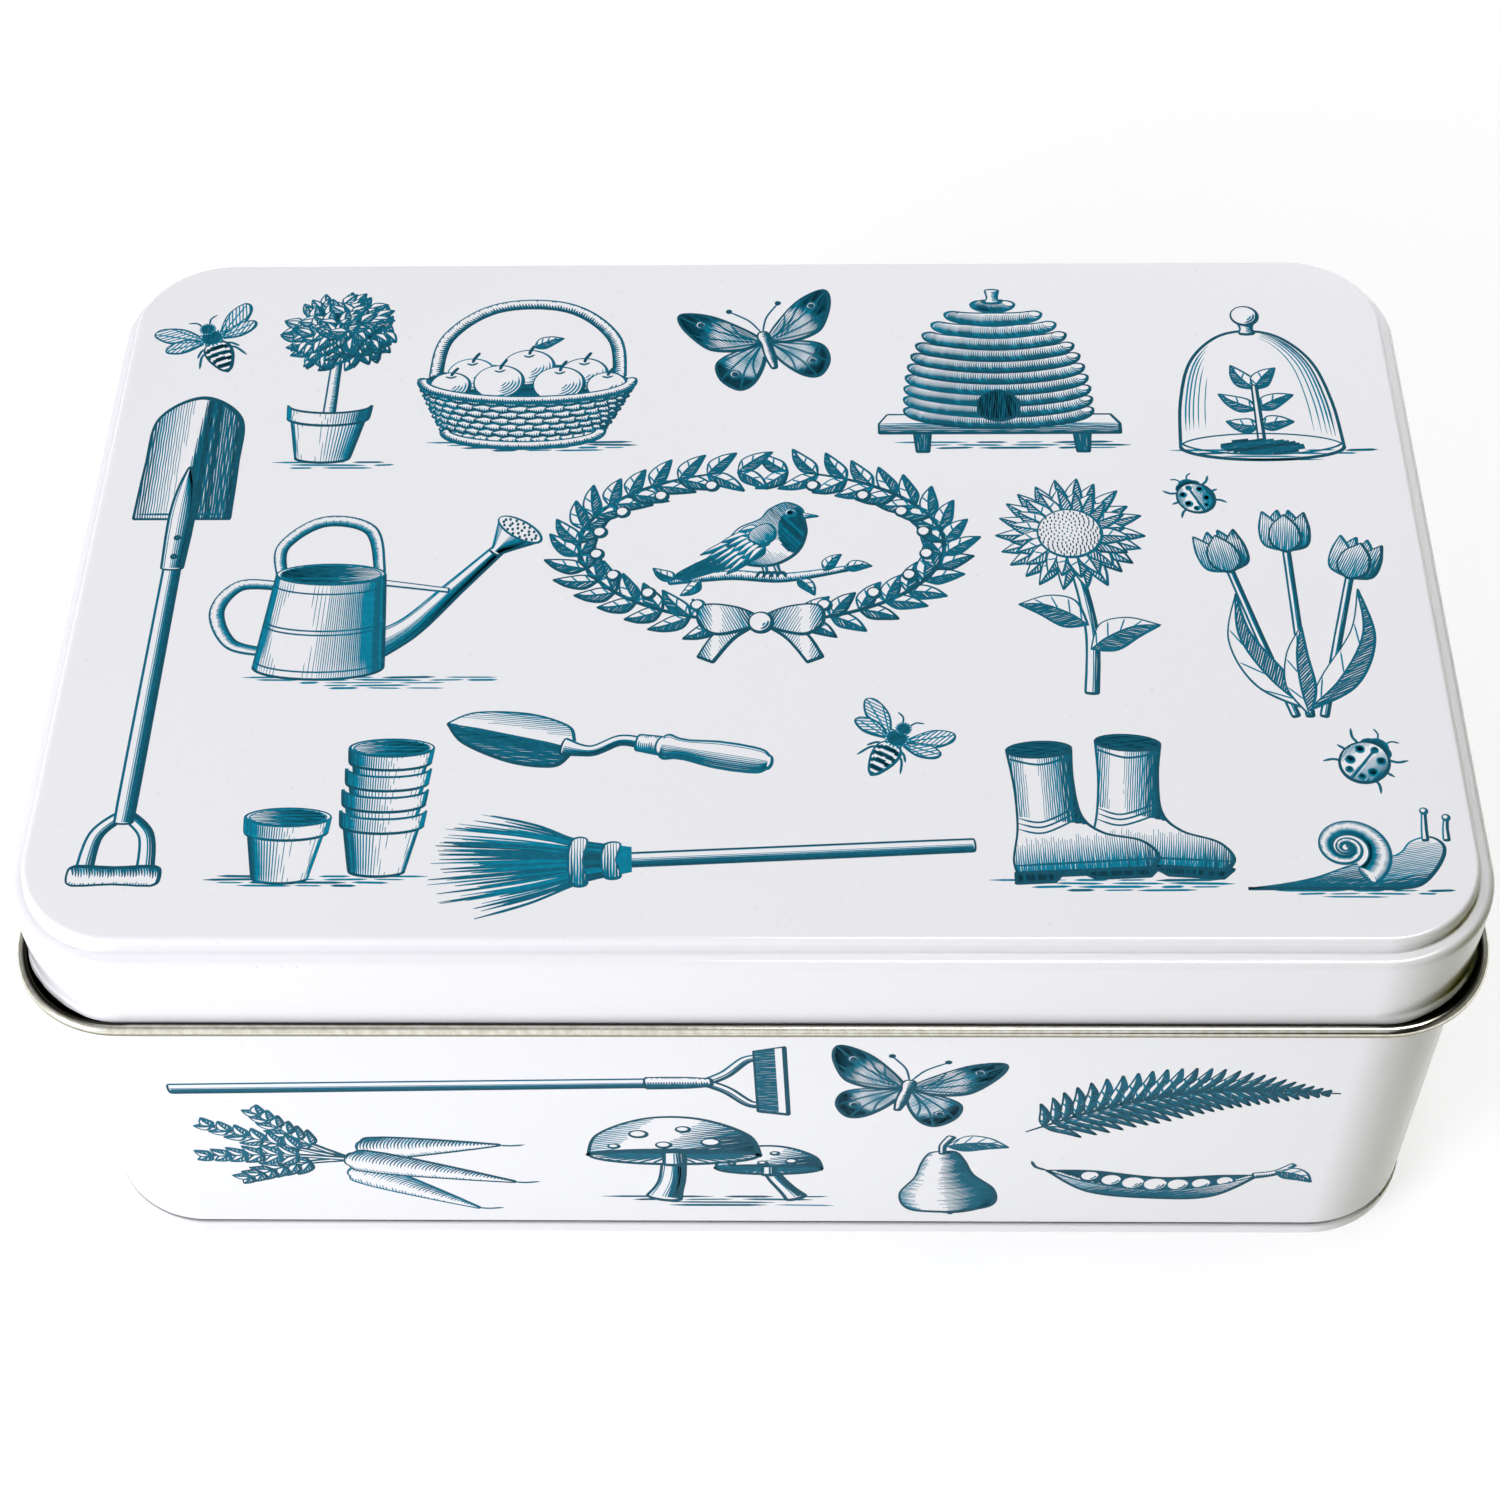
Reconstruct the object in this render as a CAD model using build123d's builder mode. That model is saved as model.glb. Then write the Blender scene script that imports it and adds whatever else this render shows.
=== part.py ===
"""A rectangular slip-lid storage tin with round corners, in three sheet-metal pieces.

Millimetres. X runs along the long side, Y from front to back and Z up. The origin is the middle of
the footprint, on the surface that the tin stands on. Every section is drawn at the middle of the
front side, by its inset from the outside of the lid's skirt and its height, and is then swept round
the tin.
"""

import os

from build123d import *

# The whole tin
tin_height = 102.0  # from the foot to the top of the lid
lid_width = 264.0  # across the lid's skirt, left to right
lid_depth = 178.0  # across the lid's skirt, front to back
corner_radius = 21.5  # of the skirt, seen from above

# The lid
lid_sheet = 0.3
step_inset = 2.9  # the raised panel's side, in from the skirt
step_drop = 3.3  # from the panel down to the ledge
panel_edge_radius = 1.2
step_root_radius = 0.5
ledge_radius = 1.5  # where the ledge turns down into the skirt
skirt_drop = 21.5  # from the panel down to the crease above the curl
curl_radius = 1.25  # outside radius of the rolled edge
curl_sweep = 305.0  # degrees that the rolled edge turns through
curl_below_crease = 1.0  # the curl's centre, down from the crease
flare_corner_radius = 18.8  # the skirt's corners, where they spread to meet the curl
flare_height = 3.0  # how far up the skirt the corners begin to spread

# The wall
wall_sheet = 0.3
wall_inset = 1.0  # the wall's outside, in from the skirt's outside
rim_radius = 1.2  # outside radius of the edge rolled in at the top
rim_sweep = 310.0
lid_seat_gap = 0.3  # between the rim and the ledge above it
neck_height = 1.0  # the height over which the wall draws in above the base seam
neck_bend_radius = 0.6

# The lock seam down the middle of the back, folded to the inside
lock_width = 4.5
lock_layers = 3  # sheets that the fold adds behind the wall
lock_end_gap = 1.0  # left free under the rim and above the neck
lock_groove_width = 0.4
lock_groove_depth = 0.15

# The base and its double seam
base_sheet = 0.3
seam_height = 3.0
seam_proud = 0.3  # how far the seam stands out from the wall
seam_gap = 0.05  # between one folded sheet and the next
seam_bend_radius = 0.45  # outside radius of the base's folds
hook_play = 0.35  # between the end of each hook and the fold that it lies in
panel_recess = 2.4  # the base panel's underside, up from the foot
panel_root_radius = 0.8
bead_inset = 9.0  # the step pressed into the base panel, in from the seam
bead_rise = 0.8
bead_run = 2.0
bead_radius = 0.9

# Heights
ledge_height = tin_height - step_drop
crease_height = tin_height - skirt_drop
curl_height = crease_height - curl_below_crease
flare_foot = crease_height - curl_below_crease / 2
flare_top = flare_foot + flare_height
rim_top = ledge_height - lid_sheet - lid_seat_gap
neck_foot = seam_height + seam_gap

# The double seam's layers, each by the inset of its sheet's middle, from the outside in
seam_face = wall_inset - seam_proud + base_sheet / 2
wall_hook = seam_face + (base_sheet + wall_sheet) / 2 + seam_gap
base_hook = wall_hook + (wall_sheet + base_sheet) / 2 + seam_gap
necked_wall = base_hook + (base_sheet + wall_sheet) / 2 + seam_gap
chuck_wall = necked_wall + (wall_sheet + base_sheet) / 2 + seam_gap

# Where the hooks turn and end
wall_fold_radius = (necked_wall - wall_hook) / 2
wall_fold_height = base_sheet + seam_gap + wall_sheet / 2 + wall_fold_radius
wall_hook_top = seam_height - base_sheet - hook_play
base_hook_foot = base_sheet + seam_gap + wall_sheet + hook_play

# The flat middles of the lid and the base, each ending inside the first bend of its section
lid_panel_edge = step_inset + 2 * panel_edge_radius
bead_start = chuck_wall + bead_inset
base_panel_edge = bead_start + 2 * bead_run


def front(inset, height):
    """A point of a section at the front, in the plane of the tin's middle."""
    return (inset - lid_depth / 2, height)


def round_the_tin(radius):
    """The rounded rectangle that a section is swept along, from the middle of the front."""
    x, y = lid_width / 2, lid_depth / 2
    corners = [(x, -y), (x, y), (-x, y), (-x, -y)]
    with BuildLine() as route:
        FilletPolyline((0, -y), *corners, radius=[0] + [radius] * 4, close=True)
    return route.wire()


def flat_panel(inset):
    """The outline of a flat panel that ends this far in from the skirt."""
    return RectangleRounded(lid_width - 2 * inset, lid_depth - 2 * inset, corner_radius - inset)


# The lid, from the panel outwards and down to the curl
with BuildPart() as lid:
    half = lid_sheet / 2
    with BuildSketch(Plane.XY.offset(tin_height - lid_sheet)):
        flat_panel(lid_panel_edge)
    extrude(amount=lid_sheet)

    with BuildSketch(Plane.YZ):
        with BuildLine():
            FilletPolyline(
                front(lid_panel_edge, tin_height - half),
                front(step_inset + half, tin_height - half),
                front(step_inset + half, ledge_height - half),
                front(half, ledge_height - half),
                front(half, flare_top),
                radius=[panel_edge_radius - half, step_root_radius + half, ledge_radius - half],
            )
        trace(line_width=lid_sheet)
    sweep(path=round_the_tin(corner_radius))

    # The corners of the skirt spread outwards over the last few millimetres.
    for height, radius in ((flare_top, corner_radius), (flare_foot, flare_corner_radius)):
        inner_size = (lid_width - 2 * lid_sheet, lid_depth - 2 * lid_sheet)
        with BuildSketch(Plane.XY.offset(height)):
            RectangleRounded(lid_width, lid_depth, radius)
            RectangleRounded(*inner_size, radius - lid_sheet, mode=Mode.SUBTRACT)
    loft(ruled=True)

    with BuildSketch(Plane.YZ):
        with BuildLine():
            Line(front(half, flare_foot), front(half, curl_height))
            curl_centre = front(lid_sheet - curl_radius, curl_height)
            CenterArc(curl_centre, curl_radius - half, 0, -curl_sweep)
        trace(line_width=lid_sheet)
    sweep(path=round_the_tin(flare_corner_radius))

# The wall, from the end of its rolled rim down to the end of its hook in the base seam
with BuildPart() as body_wall:
    half = wall_sheet / 2
    rim_centre = front(wall_inset + rim_radius, rim_top - rim_radius)
    fold_centre = front(necked_wall - wall_fold_radius, wall_fold_height)
    with BuildSketch(Plane.YZ):
        with BuildLine():
            CenterArc(rim_centre, rim_radius - half, 180 - rim_sweep, rim_sweep)
            FilletPolyline(
                front(wall_inset + half, rim_top - rim_radius),
                front(wall_inset + half, neck_foot + neck_height),
                front(necked_wall, neck_foot),
                front(necked_wall, wall_fold_height),
                radius=neck_bend_radius,
            )
            CenterArc(fold_centre, wall_fold_radius, 0, -180)
            Line(front(wall_hook, wall_fold_height), front(wall_hook, wall_hook_top))
        trace(line_width=wall_sheet)
    sweep(path=round_the_tin(corner_radius))

    back_outside = lid_depth / 2 - wall_inset
    lock_foot = neck_foot + neck_height + lock_end_gap
    lock_top = rim_top - 2 * rim_radius - lock_end_gap
    with BuildSketch(Plane.XY.offset(lock_foot)):
        with Locations((0, back_outside - wall_sheet)):
            Rectangle(lock_width, lock_layers * wall_sheet, align=(Align.CENTER, Align.MAX))
    extrude(amount=lock_top - lock_foot)
    with BuildSketch(Plane.XY.offset(lock_foot)):
        with Locations((0, back_outside)):
            Rectangle(lock_groove_width, lock_groove_depth, align=(Align.CENTER, Align.MAX))
    extrude(amount=lock_top - lock_foot, mode=Mode.SUBTRACT)

# The base, from its panel out to the end of its hook
with BuildPart() as base:
    half = base_sheet / 2
    with BuildSketch(Plane.XY.offset(panel_recess + bead_rise)):
        flat_panel(base_panel_edge)
    extrude(amount=base_sheet)

    with BuildSketch(Plane.YZ):
        with BuildLine():
            FilletPolyline(
                front(base_panel_edge, panel_recess + bead_rise + half),
                front(bead_start + bead_run, panel_recess + bead_rise + half),
                front(bead_start, panel_recess + half),
                front(chuck_wall, panel_recess + half),
                front(chuck_wall, half),
                front(seam_face, half),
                front(seam_face, seam_height - half),
                front(base_hook, seam_height - half),
                front(base_hook, base_hook_foot),
                radius=[bead_radius] * 2 + [panel_root_radius] + [seam_bend_radius - half] * 4,
            )
        trace(line_width=base_sheet)
    sweep(path=round_the_tin(corner_radius))

lid.part.label = "lid"
body_wall.part.label = "body_wall"
base.part.label = "base"

os.makedirs("parts", exist_ok=True)
export_step(lid.part, "parts/lid.step")
export_step(body_wall.part, "parts/body_wall.step")
export_step(base.part, "parts/base.step")
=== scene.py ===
import math
import random

import bmesh
import bpy
import numpy as np
from mathutils import Matrix, Vector


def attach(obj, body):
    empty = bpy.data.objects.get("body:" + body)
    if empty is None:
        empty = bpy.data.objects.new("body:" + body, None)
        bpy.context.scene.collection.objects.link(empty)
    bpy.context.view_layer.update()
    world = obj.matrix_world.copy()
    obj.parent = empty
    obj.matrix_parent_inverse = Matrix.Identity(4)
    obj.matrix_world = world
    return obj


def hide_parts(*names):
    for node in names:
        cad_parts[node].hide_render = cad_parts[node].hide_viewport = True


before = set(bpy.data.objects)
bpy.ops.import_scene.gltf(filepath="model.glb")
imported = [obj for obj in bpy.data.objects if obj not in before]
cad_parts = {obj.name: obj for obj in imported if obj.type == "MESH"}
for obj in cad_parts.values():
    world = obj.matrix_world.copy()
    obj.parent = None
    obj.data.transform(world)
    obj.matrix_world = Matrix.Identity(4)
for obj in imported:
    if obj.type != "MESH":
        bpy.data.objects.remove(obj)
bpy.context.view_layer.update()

mm = 0.001
print("frame loaded:", ", ".join(sorted(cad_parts)))


# Shader maths: a wrapped socket that takes plain arithmetic

def addNode(tree, kind, settings=None, inputs=None):
    node = tree.nodes.new(kind)
    for name, value in (settings or {}).items():
        setattr(node, name, value)
    for name, value in (inputs or {}).items():
        if isinstance(value, Signal):
            tree.links.new(value.socket, node.inputs[name])
        else:
            node.inputs[name].default_value = value
    return node


class Signal:
    def __init__(self, tree, socket):
        self.tree = tree
        self.socket = socket

    def maths(self, operation, *values):
        node = addNode(self.tree, "ShaderNodeMath", {"operation": operation}, dict(enumerate(values)))
        return Signal(self.tree, node.outputs[0])

    def __add__(self, other):
        return self.maths("ADD", self, other)

    def __sub__(self, other):
        return self.maths("SUBTRACT", self, other)

    def __rsub__(self, other):
        return self.maths("SUBTRACT", other, self)

    def __mul__(self, other):
        return self.maths("MULTIPLY", self, other)

    def __truediv__(self, other):
        return self.maths("DIVIDE", self, other)

    __radd__ = __add__
    __rmul__ = __mul__

    def __abs__(self):
        return self.maths("ABSOLUTE", self)

    def most(self, other):
        return self.maths("MAXIMUM", self, other)

    def length(self, other):
        return self.maths("SQRT", self * self + other * other)

    def step(self, low, high):  # 0 below low, 1 above high, smooth between
        node = addNode(self.tree, "ShaderNodeMapRange", {"interpolation_type": "SMOOTHSTEP"},
                       {"Value": self, "From Min": low, "From Max": high})
        return Signal(self.tree, node.outputs["Result"])


def mixColours(tree, mask, low, high):
    low, high = (value if isinstance(value, Signal) else (*value, 1.0) for value in (low, high))
    node = addNode(tree, "ShaderNodeMix", {"data_type": "RGBA"}, {0: mask, 6: low, 7: high})
    return Signal(tree, node.outputs[2])


class Finish:  # a material, with the few textures that the finishes share
    def __init__(self, name, **constants):
        self.material = bpy.data.materials.new(name)
        self.material.use_nodes = True
        self.tree = self.material.node_tree
        self.shader = self.tree.nodes["Principled BSDF"]
        for socket, value in constants.items():
            self.shader.inputs[socket.replace("_", " ")].default_value = value
        coordinates = addNode(self.tree, "ShaderNodeTexCoord")
        self.place = Signal(self.tree, coordinates.outputs["Object"])
        axes = addNode(self.tree, "ShaderNodeSeparateXYZ", None, {0: self.place})
        self.x, self.y, self.z = (Signal(self.tree, socket) for socket in axes.outputs)

    def noise(self, size, detail=2.0, stretch=(1, 1, 1)):  # size is the blotches' size in metres
        scaled = addNode(self.tree, "ShaderNodeMapping", None, {"Vector": self.place, "Scale": stretch})
        texture = addNode(self.tree, "ShaderNodeTexNoise", None, {
            "Vector": Signal(self.tree, scaled.outputs[0]), "Scale": 1 / size, "Detail": detail})
        return Signal(self.tree, texture.outputs["Fac"])

    def blend(self, mask, low, high):
        return mixColours(self.tree, mask, low, high)

    def feed(self, socket, signal):
        self.tree.links.new(signal.socket, self.shader.inputs[socket])

    def bump(self, height, depth):  # depth in metres
        node = addNode(self.tree, "ShaderNodeBump", None, {"Height": height, "Distance": depth})
        self.feed("Normal", Signal(self.tree, node.outputs[0]))


# The tin's driving sizes, in millimetres, the same as the CAD model's

tin = {
    "height": 102.0,
    "width": 264.0,  # across the lid's skirt
    "depth": 178.0,
    "cornerRadius": 21.5,
    "sheet": 0.3,
    "cornerSteps": 20,
}
halfSheet = tin["sheet"] / 2


class Sheet:  # a folded sheet: its section at the middle of the front, carried round the tin
    def __init__(self, inset, height):
        self.bm = bmesh.new()
        self.tip = self.bm.verts.new(self.front(inset, height))
        self.bends = []

    def front(self, inset, height):
        return Vector((0, inset - tin["depth"] / 2, height)) * mm

    def lineTo(self, inset, height, radius=0, segments=6):  # the radius rounds the corner at this point
        self.tip = bmesh.ops.extrude_vert_indiv(self.bm, verts=[self.tip])["verts"][0]
        self.tip.co = self.front(inset, height)
        if radius:
            self.bends.append((self.tip, radius, segments))

    def arc(self, inset, height, degrees, segments):  # about a centre, anticlockwise seen from +X
        made = bmesh.ops.spin(self.bm, geom=[self.tip], cent=self.front(inset, height), axis=(1, 0, 0),
                              angle=math.radians(degrees), steps=segments, use_merge=False)
        self.tip = next(item for item in made["geom_last"] if isinstance(item, bmesh.types.BMVert))

    def bend(self):  # rounds the corners that were drawn with a radius
        for vert, radius, segments in self.bends:
            before, after = (edge.other_vert(vert).co - vert.co for edge in vert.link_edges)
            turn = math.pi - before.angle(after)
            bmesh.ops.bevel(self.bm, geom=[vert], offset=radius * mm * math.tan(turn / 2), affect="VERTICES",
                            offset_type="OFFSET", segments=segments, profile=0.5, material=-1)

    def slide(self, edges, shift):
        made = bmesh.ops.extrude_edge_only(self.bm, edges=edges)["geom"]
        bmesh.ops.translate(self.bm, verts=[item for item in made if isinstance(item, bmesh.types.BMVert)],
                            vec=shift)
        ends = {vert for edge in edges for vert in edge.verts}
        return [item for item in made if isinstance(item, bmesh.types.BMEdge) and not ends & set(item.verts)]

    def goRound(self, fillAt=None):
        self.bend()
        halfX = (tin["width"] / 2 - tin["cornerRadius"]) * mm
        halfY = (tin["depth"] / 2 - tin["cornerRadius"]) * mm
        edges = self.slide(list(self.bm.edges), (halfX, 0, 0))
        verts = list({vert for edge in edges for vert in edge.verts})
        turned = bmesh.ops.spin(self.bm, geom=edges + verts, cent=(halfX, -halfY, 0), axis=(0, 0, 1),
                                angle=math.pi / 2, steps=tin["cornerSteps"], use_merge=False)["geom_last"]
        self.slide([item for item in turned if isinstance(item, bmesh.types.BMEdge)], (0, halfY, 0))
        for axis in "XY":
            everything = self.bm.verts[:] + self.bm.edges[:] + self.bm.faces[:]
            bmesh.ops.mirror(self.bm, geom=everything, matrix=Matrix(), axis=axis, merge_dist=1e-6)
        bmesh.ops.remove_doubles(self.bm, verts=self.bm.verts[:], dist=1e-6)
        if fillAt is not None:
            rim = [edge for edge in self.bm.edges if edge.is_boundary
                   and all(abs(vert.co.z - fillAt * mm) < 1e-5 for vert in edge.verts)]
            bmesh.ops.edgeloop_fill(self.bm, edges=rim)
        bmesh.ops.recalc_face_normals(self.bm, faces=self.bm.faces[:])
        largest = max(self.bm.faces, key=lambda face: face.calc_area())
        middle = Vector((0, 0, tin["height"] / 2 * mm))
        if largest.normal.dot(largest.calc_center_median() - middle) < 0:
            bmesh.ops.reverse_faces(self.bm, faces=self.bm.faces[:])


tinPieces = bpy.data.collections.new("tinPieces")


def addPiece(bm, name, body, finishes, replaced=()):
    mesh = bpy.data.meshes.new(name)
    bm.to_mesh(mesh)
    bm.free()
    mesh.shade_smooth()
    for finish in finishes:
        mesh.materials.append(finish.material)
    piece = bpy.data.objects.new(name, mesh)
    bpy.context.scene.collection.objects.link(piece)
    tinPieces.objects.link(piece)
    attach(piece, body)
    if replaced:
        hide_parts(*replaced)
    return piece


def keepFlats(piece):  # bends shade round while flats stay flat
    piece.modifiers.new("flatsStayFlat", "WEIGHTED_NORMAL").weight = 80


def thicken(piece):  # the sheet's own thickness, its inside in the next material
    solid = piece.modifiers.new("sheetThickness", "SOLIDIFY")
    solid.thickness = tin["sheet"] * mm
    solid.offset = 0
    solid.use_even_offset = True
    solid.material_offset = 1
    solid.material_offset_rim = 1
    keepFlats(piece)


# The finishes

lacquerLook = {  # sizes in metres
    "white": (0.795, 0.797, 0.82),
    "cloud": (0.785, 0.787, 0.81),
    "roughness": 0.22,
    "peelSize": 0.0016,
    "peelShare": 0.04,  # of the wave's depth
    "waveSize": 0.045,
    "waveDepth": 0.00003,
    "rubSize": 0.012,
    "speck": (0.42, 0.43, 0.44),
    "speckSize": 0.0009,
    "speckDrift": 0.02,  # the size of the areas that have specks
    # painted shade on the lacquer, at the wall's foot and in the lid's corners
    "paintedShadow": (0.05, 0.05, 0.055),
}
tinplateLook = {
    "bright": (0.86, 0.85, 0.75),
    "dull": (0.70, 0.68, 0.56),
    "mottleSize": 0.0016,
    # painted shade: near-black in the crease behind the rolled edge
    "crease": (0.020, 0.019, 0.013),
    # painted shade: darker along the underside of the rolled edge
    "underside": (0.16, 0.15, 0.09),
    "roughness": 0.13,
    "grainSize": 0.0012,
    "grainStretch": (1, 0.05, 1),
    "grainDepth": 0.0000006,
}
finishEdge = {  # in metres: each finish fades in over a short way, from the first value to the second
    # where the painted shade in the crease and under the rolled edge fades in
    "creaseFoot": (0.0792, 0.0796),
    "creaseTop": (0.0808, 0.0811),
    "curlUnderside": (0.0795, 0.0801),
    "skirtFoot": 0.08005,
    "wear": 0.0003,
    "wearSize": 0.003,
    "skirtFade": (-0.0001, 0.0001),
    # painted shade on the lacquer in the lid's corners, just above the bare metal
    "paintedCornerShade": (0, 0.0014),
    "wallRim": (0.09385, 0.09395),
    # the painted shade at the wall's foot
    "wallSeam": (0.0036, 0.0042),
    "baseFoot": (0.00002, 0.00012),
    "scuffSize": 0.006,
}
cornerLead = {  # in metres: how much farther out or higher things lie in a corner than along a side
    "flare": 0.00112,
    # the painted crease shade reaches this much farther out in a corner
    "crease": 0.0004,
    "skirtFoot": 0.0015,
}
inkLook = {
    "bold": (0.0050, 0.072, 0.112),
    "middle": (0.0035, 0.110, 0.174),  # a finer line lets more of the white through
    "fine": (0.0008, 0.180, 0.280),
    "dry": 1.25,  # how much lighter the ink is where it dried thin
    "drySize": 0.0011,
    "roughness": 0.45,
    "shine": 0.08,
}


# crease and under are masks of painted shade, in the crease behind the rolled edge and along its underside
def paintTinplate(finish, crease=None, under=None):
    mottle = finish.noise(tinplateLook["mottleSize"], 4.0)
    colour = finish.blend(mottle.step(0.3, 0.7), tinplateLook["dull"], tinplateLook["bright"])
    if crease is not None:
        colour = finish.blend(under, colour, tinplateLook["underside"])
        colour = finish.blend(crease, colour, tinplateLook["crease"])
    return colour


def makeLacquer(name, bare):  # bare gives the mask of unpainted metal, from the finish's own coordinates, and three masks of painted shade: over bare metal, under the rolled edge and on the lacquer
    finish = Finish(name, Coat_Roughness=0.06)
    mask, crease, under, seam = bare(finish)
    wave = finish.noise(lacquerLook["waveSize"], 1.0)
    peel = finish.noise(lacquerLook["peelSize"], 2.0)
    speck = finish.noise(lacquerLook["speckSize"], 1.0).step(0.745, 0.76)
    speck = speck * finish.noise(lacquerLook["speckDrift"], 2.0).step(0.45, 0.6)
    white = finish.blend(wave.step(0.3, 0.7) * 0.5, lacquerLook["white"], lacquerLook["cloud"])
    white = finish.blend(speck * 0.25, white, lacquerLook["speck"])
    # painted shade on the lacquer
    white = finish.blend(seam, white, lacquerLook["paintedShadow"])
    finish.feed("Base Color", finish.blend(mask, white, paintTinplate(finish, crease, under)))
    finish.feed("Metallic", mask)
    finish.feed("Coat Weight", (1 - mask) * 0.6)
    rub = finish.noise(lacquerLook["rubSize"], 5.0)
    painted = rub * 0.10 + (lacquerLook["roughness"] - 0.05)
    metal = rub * 0.16 + (tinplateLook["roughness"] - 0.08)
    finish.feed("Roughness", painted * (1 - mask) + metal * mask)
    finish.bump(peel * lacquerLook["peelShare"] + wave, lacquerLook["waveDepth"])
    return finish


def roundTheEdge(finish):  # how far out from the skirt, and how much of a corner
    pastX = (abs(finish.x) - (tin["width"] / 2 - tin["cornerRadius"]) * mm).most(0)
    pastY = (abs(finish.y) - (tin["depth"] / 2 - tin["cornerRadius"]) * mm).most(0)
    radius = pastX.length(pastY)
    cornering = pastX * pastY * 2 / (radius * radius + 1e-9)  # 0 along the sides, 1 in the middle of a corner
    out = radius.most(pastX).most(pastY) - tin["cornerRadius"] * mm - cornering * cornerLead["flare"]
    return out, cornering


def shadeTheCurl(finish):  # painted shade: dark in the crease behind the rolled edge and along its underside
    out, cornering = roundTheEdge(finish)
    lead = cornering * cornering * cornerLead["crease"]
    behind = (1 - (out - lead).step(0.0006, 0.0012)) * out.step(-0.0002, 0)
    foot, top = (finish.z.step(*finishEdge[edge]) for edge in ("creaseFoot", "creaseTop"))
    # painted shade along the underside of the rolled edge
    under = (1 - finish.z.step(*finishEdge["curlUnderside"])) * 0.85
    return behind * foot * (1 - top), under


def bareBelowSkirt(finish):  # the lacquer stops where the skirt turns out into the rolled edge; the bare metal below is painted dark as shade, and so is the lacquer just above it in the corners
    cornering = roundTheEdge(finish)[1]
    wear = (finish.noise(finishEdge["wearSize"], 2.0) - 0.5) * finishEdge["wear"]
    edge = cornering * cornering * cornerLead["skirtFoot"] + finishEdge["skirtFoot"] + wear
    mask = 1 - (finish.z - edge).step(*finishEdge["skirtFade"])
    # painted shade: the lacquer in the corners darkens just above the bare metal
    paintedCornerShade = (1 - (finish.z - edge).step(*finishEdge["paintedCornerShade"])) * cornering.step(0.5, 1.0) * 0.8
    # the bare metal below the skirt is painted dark all over, as shade
    return mask, mask, mask * 0, paintedCornerShade


def bareAtTheRim(finish):  # the wall's sheet is printed up to a few millimetres below its rolled rim, and has a band of painted shade at its foot, above the base seam
    mask = finish.z.step(*finishEdge["wallRim"])
    # painted shade at the wall's foot, above the base seam
    seam = 1 - finish.z.step(*finishEdge["wallSeam"])
    return mask, mask * 0, mask * 0, seam


def bareAtTheFoot(finish):  # scuffs where the base stands on the table
    mask = 1 - finish.z.step(*finishEdge["baseFoot"])
    scuff = finish.noise(finishEdge["scuffSize"], 5.0).step(0.52, 0.60) * mask
    return scuff, scuff * 0, scuff * 0, scuff * 0


lidLacquer = makeLacquer("lidLacquer", bareBelowSkirt)
wallLacquer = makeLacquer("wallLacquer", bareAtTheRim)
baseLacquer = makeLacquer("baseLacquer", bareAtTheFoot)


def makeTinplate(name, shade=None):
    finish = Finish(name, Metallic=1.0)
    finish.feed("Base Color", paintTinplate(finish, *(shade(finish) if shade else ())))
    grain = finish.noise(tinplateLook["grainSize"], 3.0, tinplateLook["grainStretch"])
    finish.feed("Roughness", grain * 0.10 + tinplateLook["roughness"] - 0.05)
    finish.bump(grain, tinplateLook["grainDepth"])
    return finish


insideTin = makeTinplate("insideTin")
curledTin = makeTinplate("curledTin", shadeTheCurl)


def makeInk(weight):
    ink = Finish(weight + "Ink", Roughness=inkLook["roughness"], Specular_IOR_Level=inkLook["shine"])
    dryness = ink.noise(inkLook["drySize"], 3.0).step(0.45, 0.75)
    dry = [channel * inkLook["dry"] for channel in inkLook[weight]]
    ink.feed("Base Color", ink.blend(dryness, inkLook[weight], dry))
    return ink


inks = [makeInk(weight) for weight in ("fine", "middle", "bold")]
print("finishes made")


# The lid, one sheet from its panel out to the end of the rolled edge

lid = {
    "panelHeight": tin["height"] - 0.03,  # the ink on the panel takes the last of the tin's height
    "panelEdge": 9.0,
    "stepInset": 2.9,
    "ledgeHeight": 98.7,
    "edgeRadius": 1.2,
    "rootRadius": 0.5,
    "ledgeRadius": 1.5,
    "flareTop": 83.0,
    "flareFoot": 80.0,
    "flareSteps": 6,
    "flareCornerRadius": 18.8,
    "curlCentre": (-0.95, 79.5),
    "curlSweep": -305,
}


def flareCorners(bm):  # the skirt's corners spread outwards to meet the tighter corners of the rolled edge
    spread = (tin["cornerRadius"] - lid["flareCornerRadius"]) * mm
    halfX = (tin["width"] / 2 - tin["cornerRadius"]) * mm
    halfY = (tin["depth"] / 2 - tin["cornerRadius"]) * mm
    for vert in bm.verts:
        fall = (lid["flareTop"] - vert.co.z / mm) / (lid["flareTop"] - lid["flareFoot"])
        past = Vector((abs(vert.co.x) - halfX, abs(vert.co.y) - halfY))
        if fall <= 0 or min(past) < -1e-6:
            continue
        fall = min(fall, 1)
        way = past.normalized()
        out = spread * fall * fall * (3 - 2 * fall)
        vert.co.x += math.copysign(out * (1 - way.x), vert.co.x)
        vert.co.y += math.copysign(out * (1 - way.y), vert.co.y)


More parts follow.
